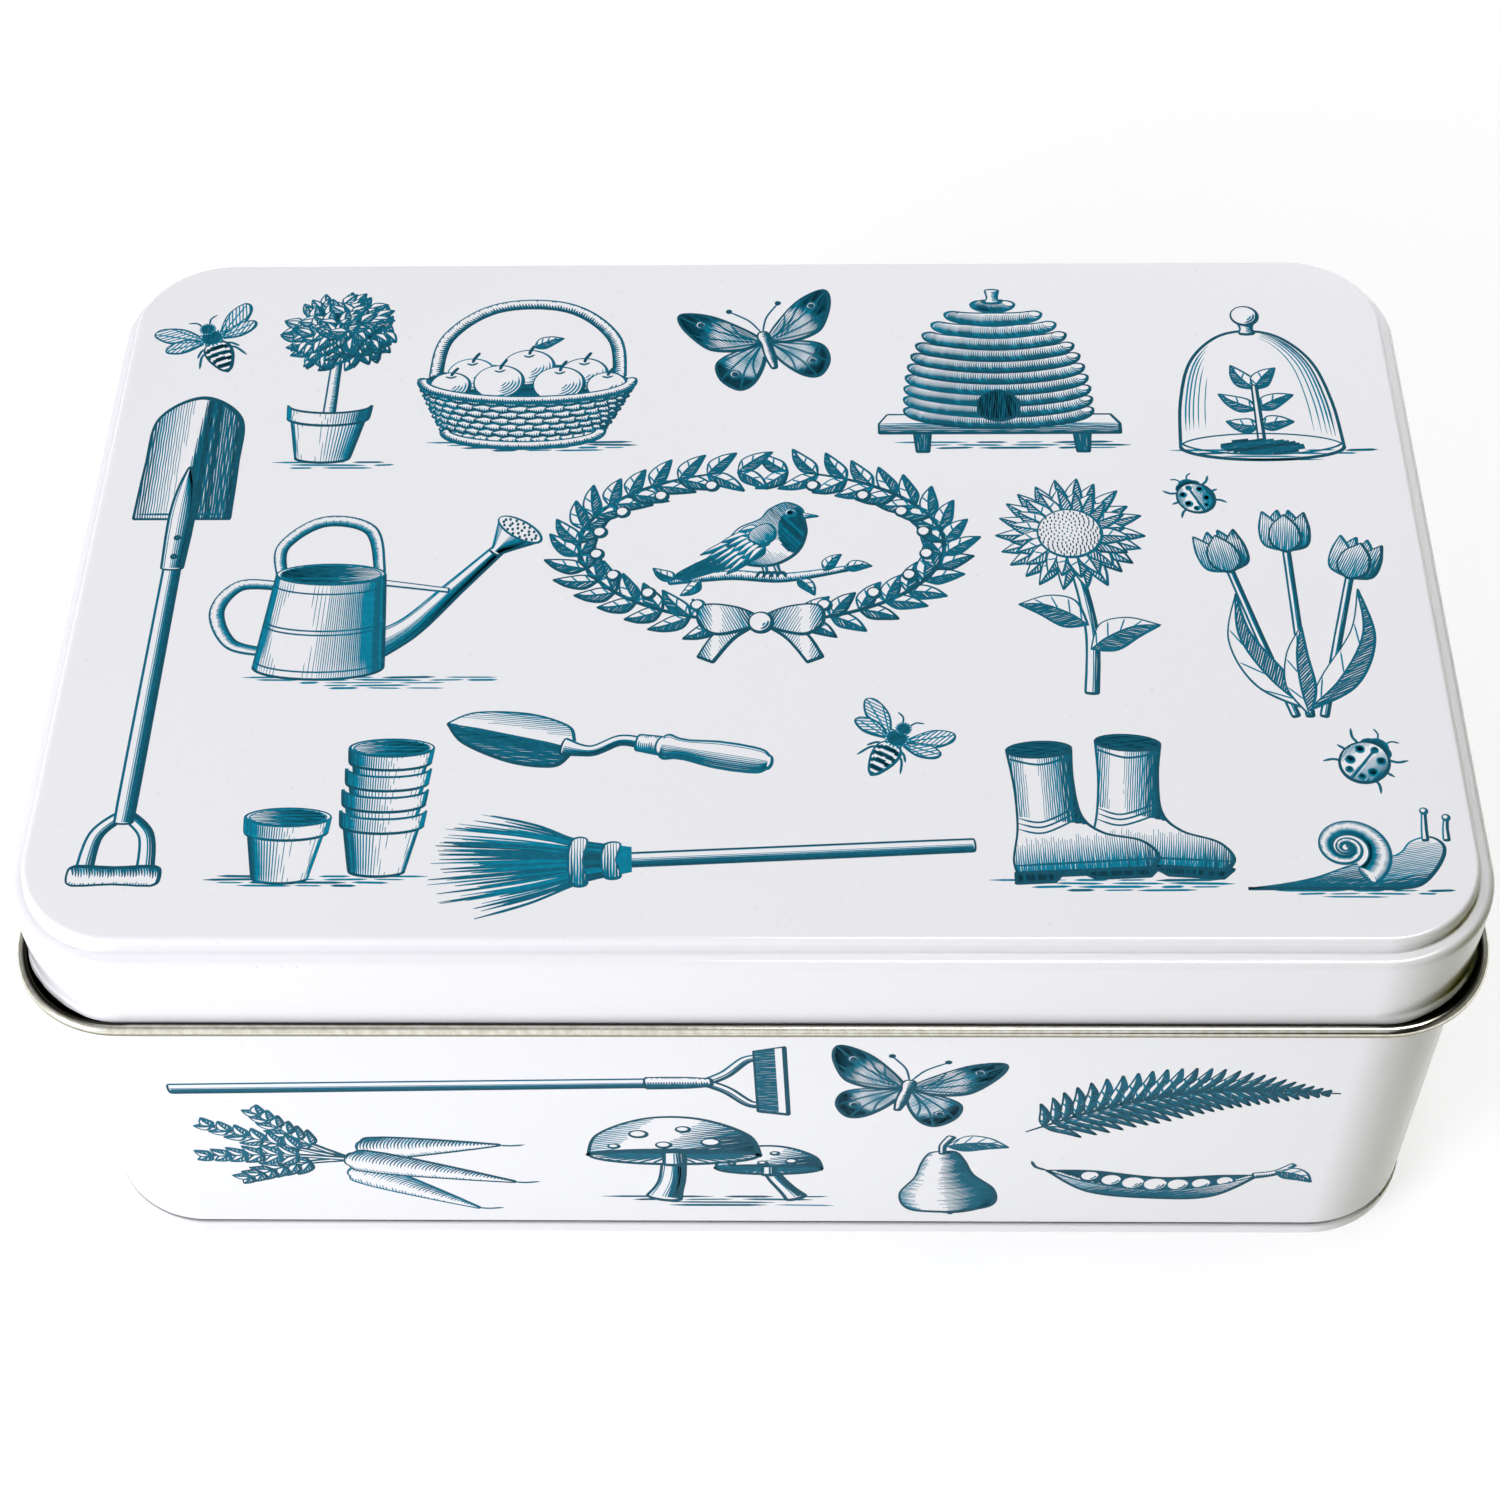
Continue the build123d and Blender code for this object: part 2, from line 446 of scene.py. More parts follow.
def buildLid():
    top, ledge = lid["panelHeight"] - halfSheet, lid["ledgeHeight"] - halfSheet
    riser = lid["stepInset"] + halfSheet
    sheet = Sheet(lid["panelEdge"], top)
    sheet.lineTo(riser + 2, top)
    sheet.lineTo(riser, top, lid["edgeRadius"] - halfSheet, 9)
    sheet.lineTo(riser, ledge, lid["rootRadius"] + halfSheet, 6)
    sheet.lineTo(halfSheet, ledge, lid["ledgeRadius"] - halfSheet, 9)
    for height in np.linspace(lid["flareTop"], lid["flareFoot"], lid["flareSteps"] + 1):
        sheet.lineTo(halfSheet, height)
    sheet.lineTo(halfSheet, lid["curlCentre"][1])
    sheet.arc(*lid["curlCentre"], lid["curlSweep"], 30)
    sheet.goRound(fillAt=top)
    flareCorners(sheet.bm)
    thicken(addPiece(sheet.bm, "lidSheet", "lid", [lidLacquer, curledTin], ["lid"]))


# The wall, from its rolled rim down to its hook in the base seam

wall = {
    "inset": 1.0,
    "rimTop": 98.1,
    "rimRadius": 1.2,
    "rimSweep": 310,
    "neckTop": 4.05,
    "neckFoot": 3.05,
    "neckInset": 1.9,
    "neckRadius": 0.6,
    "foldCentre": (1.55, 0.85),
    "hookTop": 2.35,
}
lockSeam = {
    "width": 4.5,
    "depth": 0.9,
    "foot": 5.05,
    "top": 94.7,
    "edgeRadius": 0.35,
    "groove": 0.32,
    "grooveDepth": 0.16,
}


def buildWall():
    middle = wall["inset"] + halfSheet
    rimHeight = wall["rimTop"] - wall["rimRadius"]
    around = wall["rimRadius"] - halfSheet
    start = math.radians(180 - wall["rimSweep"])
    rimInset = wall["inset"] + wall["rimRadius"]
    sheet = Sheet(rimInset + around * math.cos(start), rimHeight + around * math.sin(start))
    sheet.arc(rimInset, rimHeight, wall["rimSweep"], 30)
    sheet.lineTo(middle, lockSeam["top"])
    sheet.lineTo(middle, lockSeam["foot"])
    sheet.lineTo(middle, wall["neckTop"], wall["neckRadius"], 5)
    sheet.lineTo(wall["neckInset"], wall["neckFoot"], wall["neckRadius"], 5)
    sheet.lineTo(wall["neckInset"], wall["foldCentre"][1])
    sheet.arc(*wall["foldCentre"], -180, 10)
    sheet.lineTo(2 * wall["foldCentre"][0] - wall["neckInset"], wall["hookTop"])
    sheet.goRound()
    cutGroove(sheet.bm)
    thicken(addPiece(sheet.bm, "wallSheet", "tin", [wallLacquer, insideTin], ["body_wall"]))

    fold = bmesh.new()  # the folded layers behind the groove
    bmesh.ops.create_cube(fold, size=1)
    backInside = tin["depth"] / 2 - wall["inset"] - tin["sheet"]
    bmesh.ops.scale(fold, verts=fold.verts[:], vec=Vector((
        lockSeam["width"], lockSeam["depth"], lockSeam["top"] - lockSeam["foot"])) * mm)
    bmesh.ops.translate(fold, verts=fold.verts[:], vec=Vector((
        0, backInside - lockSeam["depth"] / 2, (lockSeam["top"] + lockSeam["foot"]) / 2)) * mm)
    upright = [edge for edge in fold.edges if (edge.verts[0].co - edge.verts[1].co).xy.length < 1e-6
               and edge.verts[0].co.y < (backInside - 0.5) * mm]
    bmesh.ops.bevel(fold, geom=upright, offset=lockSeam["edgeRadius"] * mm, offset_type="OFFSET",
                    affect="EDGES", segments=5, profile=0.5, material=-1)
    keepFlats(addPiece(fold, "lockSeamFold", "tin", [insideTin]))


def cutGroove(bm):  # presses a fine upright groove into the middle of the back
    back = (tin["depth"] / 2 - wall["inset"] - halfSheet) * mm
    line = [edge for edge in bm.edges if all(abs(vert.co.x) < 1e-7 and abs(vert.co.y - back) < 1e-6
            and lockSeam["foot"] - 0.01 < vert.co.z / mm < lockSeam["top"] + 0.01 for vert in edge.verts)]
    bmesh.ops.bevel(bm, geom=line, offset=lockSeam["groove"] / 2 * mm, offset_type="OFFSET", affect="EDGES",
                    segments=2, profile=0.5, material=-1)
    for vert in bm.verts:
        if abs(vert.co.x) < 1e-7 and abs(vert.co.y - back) < 1e-6 and (
                lockSeam["foot"] < vert.co.z / mm < lockSeam["top"]):
            vert.co.y -= lockSeam["grooveDepth"] * mm


# The base, a pressed pan whose edge folds round the wall's hook

base = {
    "panelEdge": 15.25,
    "panelHeight": 3.35,
    "trayHeight": 2.55,
    "trayRadius": 0.8,
    "beadStart": 11.25,
    "beadRun": 2.0,
    "beadRadius": 0.9,
    "chuckWall": 2.25,
    "seamFace": 0.85,
    "seamTop": 2.85,
    "seamRadius": 0.3,
    "hookInset": 1.55,
    "hookFoot": 1.0,
}


def buildBase():
    sheet = Sheet(base["panelEdge"], base["panelHeight"])
    sheet.lineTo(base["beadStart"] + base["beadRun"], base["panelHeight"], base["beadRadius"], 4)
    sheet.lineTo(base["beadStart"], base["trayHeight"], base["beadRadius"], 4)
    sheet.lineTo(base["chuckWall"], base["trayHeight"], base["trayRadius"])
    for inset, height in (("chuckWall", halfSheet), ("seamFace", halfSheet), ("seamFace", base["seamTop"]),
                          ("hookInset", base["seamTop"])):
        sheet.lineTo(base[inset], height, base["seamRadius"])
    sheet.lineTo(base["hookInset"], base["hookFoot"])
    sheet.goRound(fillAt=base["panelHeight"])
    thicken(addPiece(sheet.bm, "baseSheet", "tin", [baseLacquer, insideTin], ["base"]))


buildLid()
buildWall()
buildBase()
print("sheets folded")


# The print: drawings in the manner of wood engravings, each a plate of strokes in millimetres

engraving = {
    "outline": 0.42,
    "line": 0.30,
    "gap": 0.56,
    "wobble": 0.05,
    "spacing": 0.25,  # from point to point along a stroke
    "finest": 0.085,  # a thinner line isn't printed
    "light": (-0.6, 0.8),
    "seed": 11,
    "lidWeight": 1.44,  # thickens every line, on the lid
    "wallWeight": 1.50,  # and on the walls
}
# A line's width from the lit rail of a round form to its shaded rail, and round an upright vessel
roundTone = ((0, 0.7), (0.14, 0.35), (0.26, 0.0), (0.40, 0.22), (0.62, 0.75), (0.86, 1.15), (1, 0.85))
vesselTone = ((0, 0.95), (0.1, 0.6), (0.2, 0.2), (0.3, 0.05), (0.4, 0.1), (0.5, 0.45), (0.68, 0.85),
              (0.88, 1.25), (1, 1.1))
hand = random.Random(engraving["seed"])


def respace(line):  # evenly spaced points along a line
    line = np.asarray(line, float)
    far = np.concatenate([[0], np.cumsum(np.hypot(*np.diff(line, axis=0).T))])
    marks = np.linspace(0, far[-1], int(far[-1] / engraving["spacing"]) + 3)
    return np.stack([np.interp(marks, far, line[:, axis]) for axis in (0, 1)], 1)


def sample(line, shares):  # the points at these shares of a line
    ends = np.linspace(0, 1, len(line))
    return np.stack([np.interp(shares, ends, line[:, axis]) for axis in (0, 1)], 1)


def curve(*knots, closed=False):  # smooth through the knots, with a corner at a knot given twice
    knots = np.array(knots, float)
    ends = (knots[-1:], knots[:2]) if closed else (knots[:1], knots[-1:])
    p = np.concatenate([ends[0], knots, ends[1]])
    t = np.linspace(0, 1, 12, endpoint=False)[:, None]
    spans = []
    for a, b, c, d in zip(p, p[1:], p[2:], p[3:]):
        if (b != c).any():
            bow, sway = 2 * a - 5 * b + 4 * c - d, 3 * b - a - 3 * c + d
            spans.append(0.5 * (2 * b + (c - a) * t + bow * t ** 2 + sway * t ** 3))
    return respace(np.concatenate(spans + [p[-2:-1]]))


def path(*knots, closed=False):  # straight from knot to knot
    return respace(list(knots) + [knots[0]] * closed)


def ellipse(x, y, rx, ry, turn=0, start=0, end=360):
    t = np.radians(np.linspace(start, end, 61))
    c, s = math.cos(math.radians(turn)), math.sin(math.radians(turn))
    u, v = rx * np.cos(t), ry * np.sin(t)
    return respace(np.stack([x + u * c - v * s, y + u * s + v * c], 1))


def circle(x, y, radius):
    return ellipse(x, y, radius, radius)


def ring(count, rx, ry):  # points at even angles round the origin
    angles = np.arange(count) * 2 * math.pi / count
    return np.stack([rx * np.cos(angles), ry * np.sin(angles)], 1)


def nearHalf(x, y, rx, ry):  # the half of a level ring that faces the viewer
    return ellipse(x, y, rx, ry, 0, 180, 360)


def place(line, x=0, y=0, turn=0, size=1.0, flip=1):
    c, s = math.cos(math.radians(turn)), math.sin(math.radians(turn))
    return np.asarray(line) * (flip, 1) @ np.array([[c, s], [-s, c]]) * size + (x, y)


def within(points, edge):
    x, y = points[:, 0, None], points[:, 1, None]
    a, b = edge, np.roll(edge, -1, axis=0)
    rise = np.where(a[:, 1] == b[:, 1], 1e-9, b[:, 1] - a[:, 1])
    over = ((a[:, 1] > y) != (b[:, 1] > y)) & (x < (b[:, 0] - a[:, 0]) * (y - a[:, 1]) / rise + a[:, 0])
    return over.sum(1) % 2 == 1


def slope(line):
    step = np.gradient(line, axis=0)
    return step / (np.hypot(*step.T)[:, None] + 1e-9)


def heading(line, spot):  # a line's direction at one of its points, in degrees
    way = slope(line)[spot]
    return math.degrees(math.atan2(way[1], way[0]))


def graded(marks, widths, right=0, up=1):  # widths by how far a point lies in one direction
    return lambda p: np.interp(p[:, 0] * right + p[:, 1] * up, marks, widths)


class Plate:  # an engraved picture in mm, as strokes: the points of each, its width there and its level
    def __init__(self):
        self.strokes = []
        self.level = 0  # what is drawn later lies a hair higher, so that no two strokes share a surface

    def mark(self, line, widths):
        box = (*line.min(0).tolist(), *line.max(0).tolist())
        self.strokes.append((line, widths, self.level, box))

    def keep(self, line, widths, mask):  # adds the stretches of a line where the mask holds
        if mask.all():
            self.mark(line, widths)
            return
        edges = np.flatnonzero(np.diff(np.concatenate([[0], mask.astype(int), [0]])))
        for first, last in zip(edges[::2], edges[1::2]):
            if last - first > 2:
                self.mark(line[first:last], widths[first:last])

    def stroke(self, line, width, ends=0.3):
        self.level += 1
        line = respace(line)
        widths = width * np.interp(np.linspace(0, 1, len(line)), (0, 0.18, 0.82, 1), (ends, 1, 1, ends))
        self.keep(line, widths, widths > min(engraving["finest"], width * ends * 0.9))

    def outline(self, edge, width=engraving["outline"], tone=0.4):  # heavier on the shaded side
        edge = respace(edge)
        way = slope(edge)
        turning = np.sum(edge[:-1, 0] * edge[1:, 1] - edge[1:, 0] * edge[:-1, 1])
        out = np.stack([way[:, 1], -way[:, 0]], 1) * (1 if turning > 0 else -1)
        shade = -(out @ np.array(engraving["light"]))
        self.level += 1
        self.mark(edge, width * (1 + tone * shade))

    def cover(self, edge):  # what lies behind is hidden
        kept, self.strokes, drawing = self.strokes, [], self.level
        (left, low), (right, high) = edge.min(0).tolist(), edge.max(0).tolist()
        for stroke in kept:
            line, widths, self.level, box = stroke
            if box[2] < left or box[0] > right or box[3] < low or box[1] > high:
                self.strokes.append(stroke)
            else:
                self.keep(line, widths, ~within(line, edge))
        self.level = drawing

    def hatch(self, edge, turn=90, gap=engraving["gap"], width=engraving["line"], tone=None):
        self.level += 1
        spin = place(np.eye(2), turn=turn)
        flat = edge @ spin.T
        low, high = flat.min(0), flat.max(0)
        marks = np.arange(low[0], high[0], engraving["spacing"])
        wobble = engraving["wobble"]
        for row in np.arange(low[1] + gap / 2, high[1], gap):
            drift = wobble * np.sin(marks * 0.9 + hand.uniform(0, 6.3)) + hand.uniform(-0.3, 0.3) * wobble
            line = np.stack([marks, row + drift], 1) @ spin
            widths = width * (tone(line) if tone else np.ones(len(line))) * hand.uniform(0.88, 1.1)
            self.keep(line, widths, within(line, edge) & (widths > engraving["finest"]))

    def shape(self, edge, turn, gap, width, outline, tone=None):  # a shaded form that hides what lies behind
        self.cover(edge)
        self.hatch(edge, turn, gap, width, tone)
        self.outline(edge, outline)

    def blank(self, edge, outline=engraving["outline"]):  # an unshaded one
        self.cover(edge)
        self.outline(edge, outline)

    def between(self, left, right, gap, width, shading=roundTone, sag=0.0):
        # lines across a form, from one rail to the other, bowed along the form by sag times their length
        self.level += 1
        length = max(np.hypot(*np.diff(rail, axis=0).T).sum() for rail in (left, right))
        count = max(2, int(length / gap))
        for number in range(count):
            a, b = (sample(rail, [(number + 0.5) / count])[0] for rail in (left, right))
            t = np.linspace(0, 1, max(5, int(np.hypot(*(b - a)) / engraving["spacing"])))
            bow = np.array([b[1] - a[1], a[0] - b[0]]) * sag
            line = a + (b - a) * t[:, None] + bow * (4 * t * (1 - t))[:, None]
            tones = np.interp(t + hand.uniform(-0.05, 0.05), *zip(*shading))
            widths = width * tones * hand.uniform(0.85, 1.1)
            self.keep(line, widths, widths > engraving["finest"])

    def streams(self, left, right, count, width, shading=roundTone):  # lines along a form
        self.level += 1
        size = max(len(left), len(right), 8)
        share = np.linspace(0, 1, size)
        a, b = (sample(rail, share) for rail in (left, right))
        for number in range(count):
            part = (number + 0.5) / count
            widths = np.full(size, width * np.interp(part, *zip(*shading)) * hand.uniform(0.85, 1.1))
            line = a + (b - a) * part
            line[:, 0] += 0.04 * np.sin(share * size * 0.12 + number * 2)
            self.keep(line, widths, widths > engraving["finest"])

    def tube(self, centre, radii, gap=engraving["gap"], tilt=0.25, width=engraving["line"], style="across",
             shading=roundTone, cover=True):
        # a round form along a line: radii are (share of the line, radius)
        centre = respace(centre)
        radius = np.interp(np.linspace(0, 1, len(centre)), *curve(*radii).T)
        way = slope(centre)
        normal = np.stack([-way[:, 1], way[:, 0]], 1)
        left, right = centre + normal * radius[:, None], centre - normal * radius[:, None]
        bows = [(math.cos(a), tilt * math.sin(a)) for a in np.linspace(0, math.pi, 13)[1:-1]]
        tail, nose = ([centre[end] + (normal[end] * c + way[end] * s) * radius[end] * side for c, s in bows]
                      for end, side in ((-1, 1), (0, -1)))
        edge = respace(np.concatenate([left, tail, right[::-1], nose, left[:1]]))
        if cover:
            self.cover(edge)
        lit = (normal @ np.array(engraving["light"])).mean() > 0  # the shading starts at the lit rail
        first, second = (left, right) if lit else (right, left)
        if style == "across":
            self.between(first, second, gap, width, shading, tilt * (0.5 if lit else -0.5))
        elif style == "along":
            self.streams(first, second, max(3, int(2 * radius.max() / gap)), width, shading)
        self.outline(edge)

    def vessel(self, x, y, height, foot, top, tilt, hollow=True, cover=True):  # an upright round wall
        lip, bottom = nearHalf(x, y + height, top, top * tilt), nearHalf(x, y, foot, foot * tilt)
        mouth = ellipse(x, y + height, top, top * tilt)
        self.cover(np.concatenate([bottom, lip[::-1]]))
        if cover:
            self.cover(mouth)
        count = int(2 * foot / 0.52 * 1.25)
        for number in range(count):
            share = (number + 0.5) / count
            angle = math.pi * (1 + 0.02 + 0.96 * share)
            start, end = (np.array((x + r * math.cos(angle), y + up + r * tilt * math.sin(angle)))
                          for r, up in ((top, height), (foot, 0)))
            tone = np.interp(share, *zip(*vesselTone)) * hand.uniform(0.88, 1.12)
            reach = np.interp(tone, (0.1, 0.5), (0.12, 1)) * hand.uniform(0.85, 1.1) if tone < 0.5 else 1
            first, last = (0, min(reach, 1)) if number % 2 or reach == 1 else (max(1 - reach * 0.7, 0), 1)
            line = path(start + (end - start) * first, start + (end - start) * last)
            if tone > 0.1:
                self.stroke(line, engraving["line"] * max(tone, 0.42), 0.7 if reach == 1 else 0.3)
        for side, width in ((-1, 0.42), (1, 0.62)):
            self.stroke(path((x + side * foot, y), (x + side * top, y + height)), width, 0.9)
        self.stroke(bottom, 0.55, 0.9)
        if hollow:
            inner = ellipse(x, y + height - 0.1, top - 1, (top - 1) * tilt)
            self.hatch(inner, 0, 0.45, 0.36, graded((x - top, x, x + top), (1.3, 1.0, 0.2), 1, 0))
            self.outline(inner, 0.28)
        if cover:
            self.outline(mouth)
        else:
            self.stroke(lip, 0.46, 0.9)

    def leaf(self, x, y, length, width, turn, bend=0.12, veins=5, gap=0.5, dark=1.0):
        def put(line):
            return place(line, x, y, turn)
        sides = [curve((0, 0), (0, 0), (0.3 * length, side * width * 0.5 + bend * width),
                       (0.68 * length, side * width * 0.36 + bend * width * 1.2), (length, 0), (length, 0))
                 for side in (1, -1, 0)]
        size = max(len(sides[0]), len(sides[1]))
        top, low, rib = (sample(side, np.linspace(0, 1, size)) for side in sides)
        edge = np.concatenate([top, low[::-1]])
        lit = 1 if math.cos(math.radians(turn - 25)) > 0 else -1
        bright, shady = (top, low) if lit > 0 else (low, top)
        self.cover(put(edge))
        self.hatch(put(np.concatenate([rib, shady[::-1]])), turn - 38 * lit, gap, 0.32 * dark)
        for number in range(veins):
            share = (number + 0.6) / (veins + 0.4)
            start = rib[int(share * (size - 1))]
            tip = bright[int(min(share + 0.16, 1) * (size - 1))]
            self.stroke(put(path(start, start + (tip - start) * 0.9)), 0.26, 0.4)
        self.stroke(put(rib), 0.36, 0.5)
        self.outline(put(edge), 0.36)

    def ball(self, x, y, radius, gap=0.5, squash=1.0):  # a round fruit, berry or bulb, shaded by a crescent
        edge = ellipse(x, y, radius, radius * squash)
        self.cover(edge)
        for number in range(int(0.62 * radius / gap)):
            inset = (number + 0.5) * gap / radius
            size, reach = radius * (1 - inset), 64 - 70 * inset + 7 * math.sin(number * 2.4)
            self.stroke(ellipse(x - radius * inset * 0.25, y + radius * inset * 0.25, size, size * squash, 0,
                                -38 - reach, -38 + reach), 0.37 - 0.2 * inset, 0.1)
        self.outline(edge, 0.4, 0.5)

    def add(self, other, x=0, y=0, turn=0, size=1.0, flip=1):
        below = self.level
        for line, widths, level, box in other.strokes:
            self.level = below + level
            self.mark(place(line, x, y, turn, size, flip), widths * max(size, 0.75))
        self.level = below + other.level

    def ground(self, x0, x1, y, rows):  # broken level strokes under a thing
        for row in range(rows):
            inset = (x1 - x0) * 0.06 * row + hand.uniform(0, 4)
            a, b = x0 + inset * 1.4, x1 - inset * hand.uniform(0.6, 1.6)
            while a < b:
                end = min(a + hand.uniform(5, 18), b)
                lift, weight = hand.uniform(-0.12, 0.12), hand.uniform(0.6, 1.15)
                if end - a > 4:  # a shorter one looks like a slip of the hand
                    line = path((a, y - row * 0.9 + lift), (end, y - row * 0.9 - lift))
                    self.stroke(line, 0.42 * weight, 0.15)
                a = end + hand.uniform(0.5, 2.5)


def wateringCan(plate):
    plate.ground(-30, 44, -25.5, 5)
    handle = curve((-21, 6), (-32, 6), (-37, -3), (-32, -14), (-22, -17))
    bail = curve((-21, 9), (-22, 20), (-12, 29), (1, 26), (5, 11))
    spout = curve((2, -17), (14, -9), (26, 6), (37, 20))
    plate.tube(bail, [(0, 1.3), (0.5, 1.7), (1, 1.3)], 0.5)
    plate.tube(handle, [(0, 1.3), (0.5, 1.8), (1, 1.2)], 0.5)
    plate.tube(spout, [(0, 5.4), (0.3, 3.5), (1, 1.8)], 0.5, style="along")
    plate.tube(path((35.5, 18), (41.5, 26)), [(0, 2.0), (0.15, 2.2), (1, 7.2)], 0.55, 0.42, style="along")
    plate.blank(ellipse(41.5, 26, 7.2, 2.9, -36.9))
    for share, count in ((0.76, 15), (0.45, 9), (0.1, 2)):
        for x, y in place(ring(count, 7.2 * share, 2.9 * share), 41.5, 26, -36.9):
            plate.stroke(path((x - 0.35, y), (x + 0.35, y)), 0.65, 0.6)
    plate.blank(path((3, 8.5), (24, 5), (24, 3.6), (3, 6.6), closed=True), 0.34)
    plate.vessel(-8, -22, 32, 17, 14.5, 0.25)
    for height, radius in ((-19.6, 16.9), (6.6, 14.9), (-6, 15.8), (-7.4, 15.9)):
        plate.stroke(nearHalf(-8, height, radius, radius * 0.25), 0.36, 0.9)


def trowel(plate):
    blade = curve((-31, 0), (-31, 0), (-26, 4.2), (-15, 6.6), (-6, 5.6), (-3.5, 2.5), (-3.2, 0), (-3.5, -2.5),
                  (-6, -5.6), (-15, -6.6), (-26, -4.2), closed=True)
    plate.shape(blade, 8, 0.5, 0.34, 0.5, graded((-6.5, -0.2, 0.3, 4, 6.5), (0.9, 1.25, 0.12, 0.35, 0.8)))
    plate.stroke(path((-29, 0), (-4, 0)), 0.5, 0.2)
    neck = curve((-5, 0), (1, 0.4), (6, 4.5), (11, 5))
    plate.tube(neck, [(0, 2.2), (0.3, 1.2), (1, 1.3)], 0.45, style="along")
    plate.tube(path((10, 4.9), (15, 5.2)), [(0, 2.1), (1, 2.4)], 0.42)
    handle = [(0, 2.4), (0.05, 3.3), (0.2, 2.5), (0.55, 3.5), (0.9, 3.2), (1, 1.8)]
    plate.tube(path((15, 5.2), (38, 6.4)), handle, 0.5, 0.5, style="along")


def flowerPot(plate, x, y, size=1.0, open=True):
    plate.vessel(x, y, 14 * size, 6.6 * size, 9.2 * size, 0.24, False, open)
    plate.vessel(x, y + 13.6 * size, 4.4 * size, 10 * size, 10.4 * size, 0.26, open, open)


def flowerPots(plate):
    plate.ground(-24, 36, -1.5, 4)
    for number in (3, 2, 1, 0):
        flowerPot(plate, -9 + hand.uniform(-0.4, 0.4), number * 6.4, open=number == 3)
    flowerPot(plate, 14, -2)


def spade(plate):
    for side in (1, -1):
        fork = curve((-43, 0), (-48, side * 4.6), (-57, side * 5.6))
        plate.tube(fork, [(0, 1.0), (1, 1.5)], 0.5, style="along")
    plate.tube(path((-57, -8), (-57, 8)), [(0, 1.7), (0.1, 2.2), (0.5, 1.8), (0.9, 2.2), (1, 1.7)], 0.5)
    plate.tube(path((-45, 0), (20, 0)), [(0, 1.2), (0.03, 1.7), (1, 1.6)], 0.42, width=0.34, style="along")
    blade = curve((30, 9.6), (30, 9.6), (45, 9.3), (58, 8.4), (64, 0), (58, -8.4), (45, -9.3), (30, -9.6),
                  (30, -9.6), closed=True)
    tone = graded((-6.74, -2.24, 2.16, 2.96, 7.76, 12.26), (1.1, 0.95, 1.35, 0.15, 0.4, 0.9), 0.06, 1)
    plate.shape(blade, 2, 0.52, 0.34, 0.55, tone)
    plate.stroke(path((31.3, 9), (31.3, -9)), 0.36)
    socket = [(0, 2.1), (0.5, 2.5), (0.8, 1.7), (1, 0.4)]
    plate.tube(path((17, 0), (44, 0)), socket, 0.45, width=0.36, style="along")
    for x in (20, 25):
        plate.stroke(circle(x, 0, 0.45), 0.4, 1)


def boot(plate, x, y, turn):
    drawn = Plate()
    upper = curve((-7.2, 35), (-7.2, 35), (-6.4, 24), (-6.8, 13), (-8.4, 5), (-8, 1), (-8, 1), (8, 1),
                  (22, 1), (22, 1), (23.4, 4.5), (20, 8.5), (12, 11), (7.6, 16), (6.8, 26), (7.4, 35),
                  (7.4, 35), closed=True)
    sole = path((-8.4, 1.4), (-8.6, -1.6), (0, -1.6), (1.4, 0), (7, 0), (9, -1.2), (21, -1.2), (23.4, 1.4),
                closed=True)
    leg = graded((-7, -4, -2, 2, 7), (0.9, 0.3, 0.05, 0.6, 1.3), 1, 0)
    foot = graded((1, 5, 8, 12), (1.1, 0.7, 0.3, 0.2), -0.06, 1)
    for part in (sole, upper):
        drawn.shape(part, 88, 0.5, 0.34, 0.5, lambda p: np.where(
            p[:, 1] < 1, 1.4, np.where(p[:, 1] > 15 - p[:, 0] * 0.2, leg(p), foot(p))))
    for up in (0, 1.6, 3):
        fold = curve((-6.9 + up * 0.1, 13 + up), (-1, 11.6 + up), (7.6 - up * 0.1, 15.6 + up))
        drawn.stroke(fold, 0.34, 0.2)
    drawn.stroke(curve((-8.3, 3), (8, 3.2), (23.2, 3.4)), 0.4, 0.6)
    top = ellipse(0.1, 35, 7.3, 2.2)
    drawn.shape(top, 0, 0.42, 0.4, 0.5)
    drawn.stroke(curve((-7.1, 32.6), (0, 30.6), (7.3, 32.6)), 0.4, 0.8)
    for edge in (upper, sole, top):
        plate.cover(place(edge, x, y, turn))
    plate.add(drawn, x, y, turn)


def boots(plate):
    plate.ground(-20, 40, -1.2, 4)
    boot(plate, 13, 2, -4)
    boot(plate, -3, 0, 3)


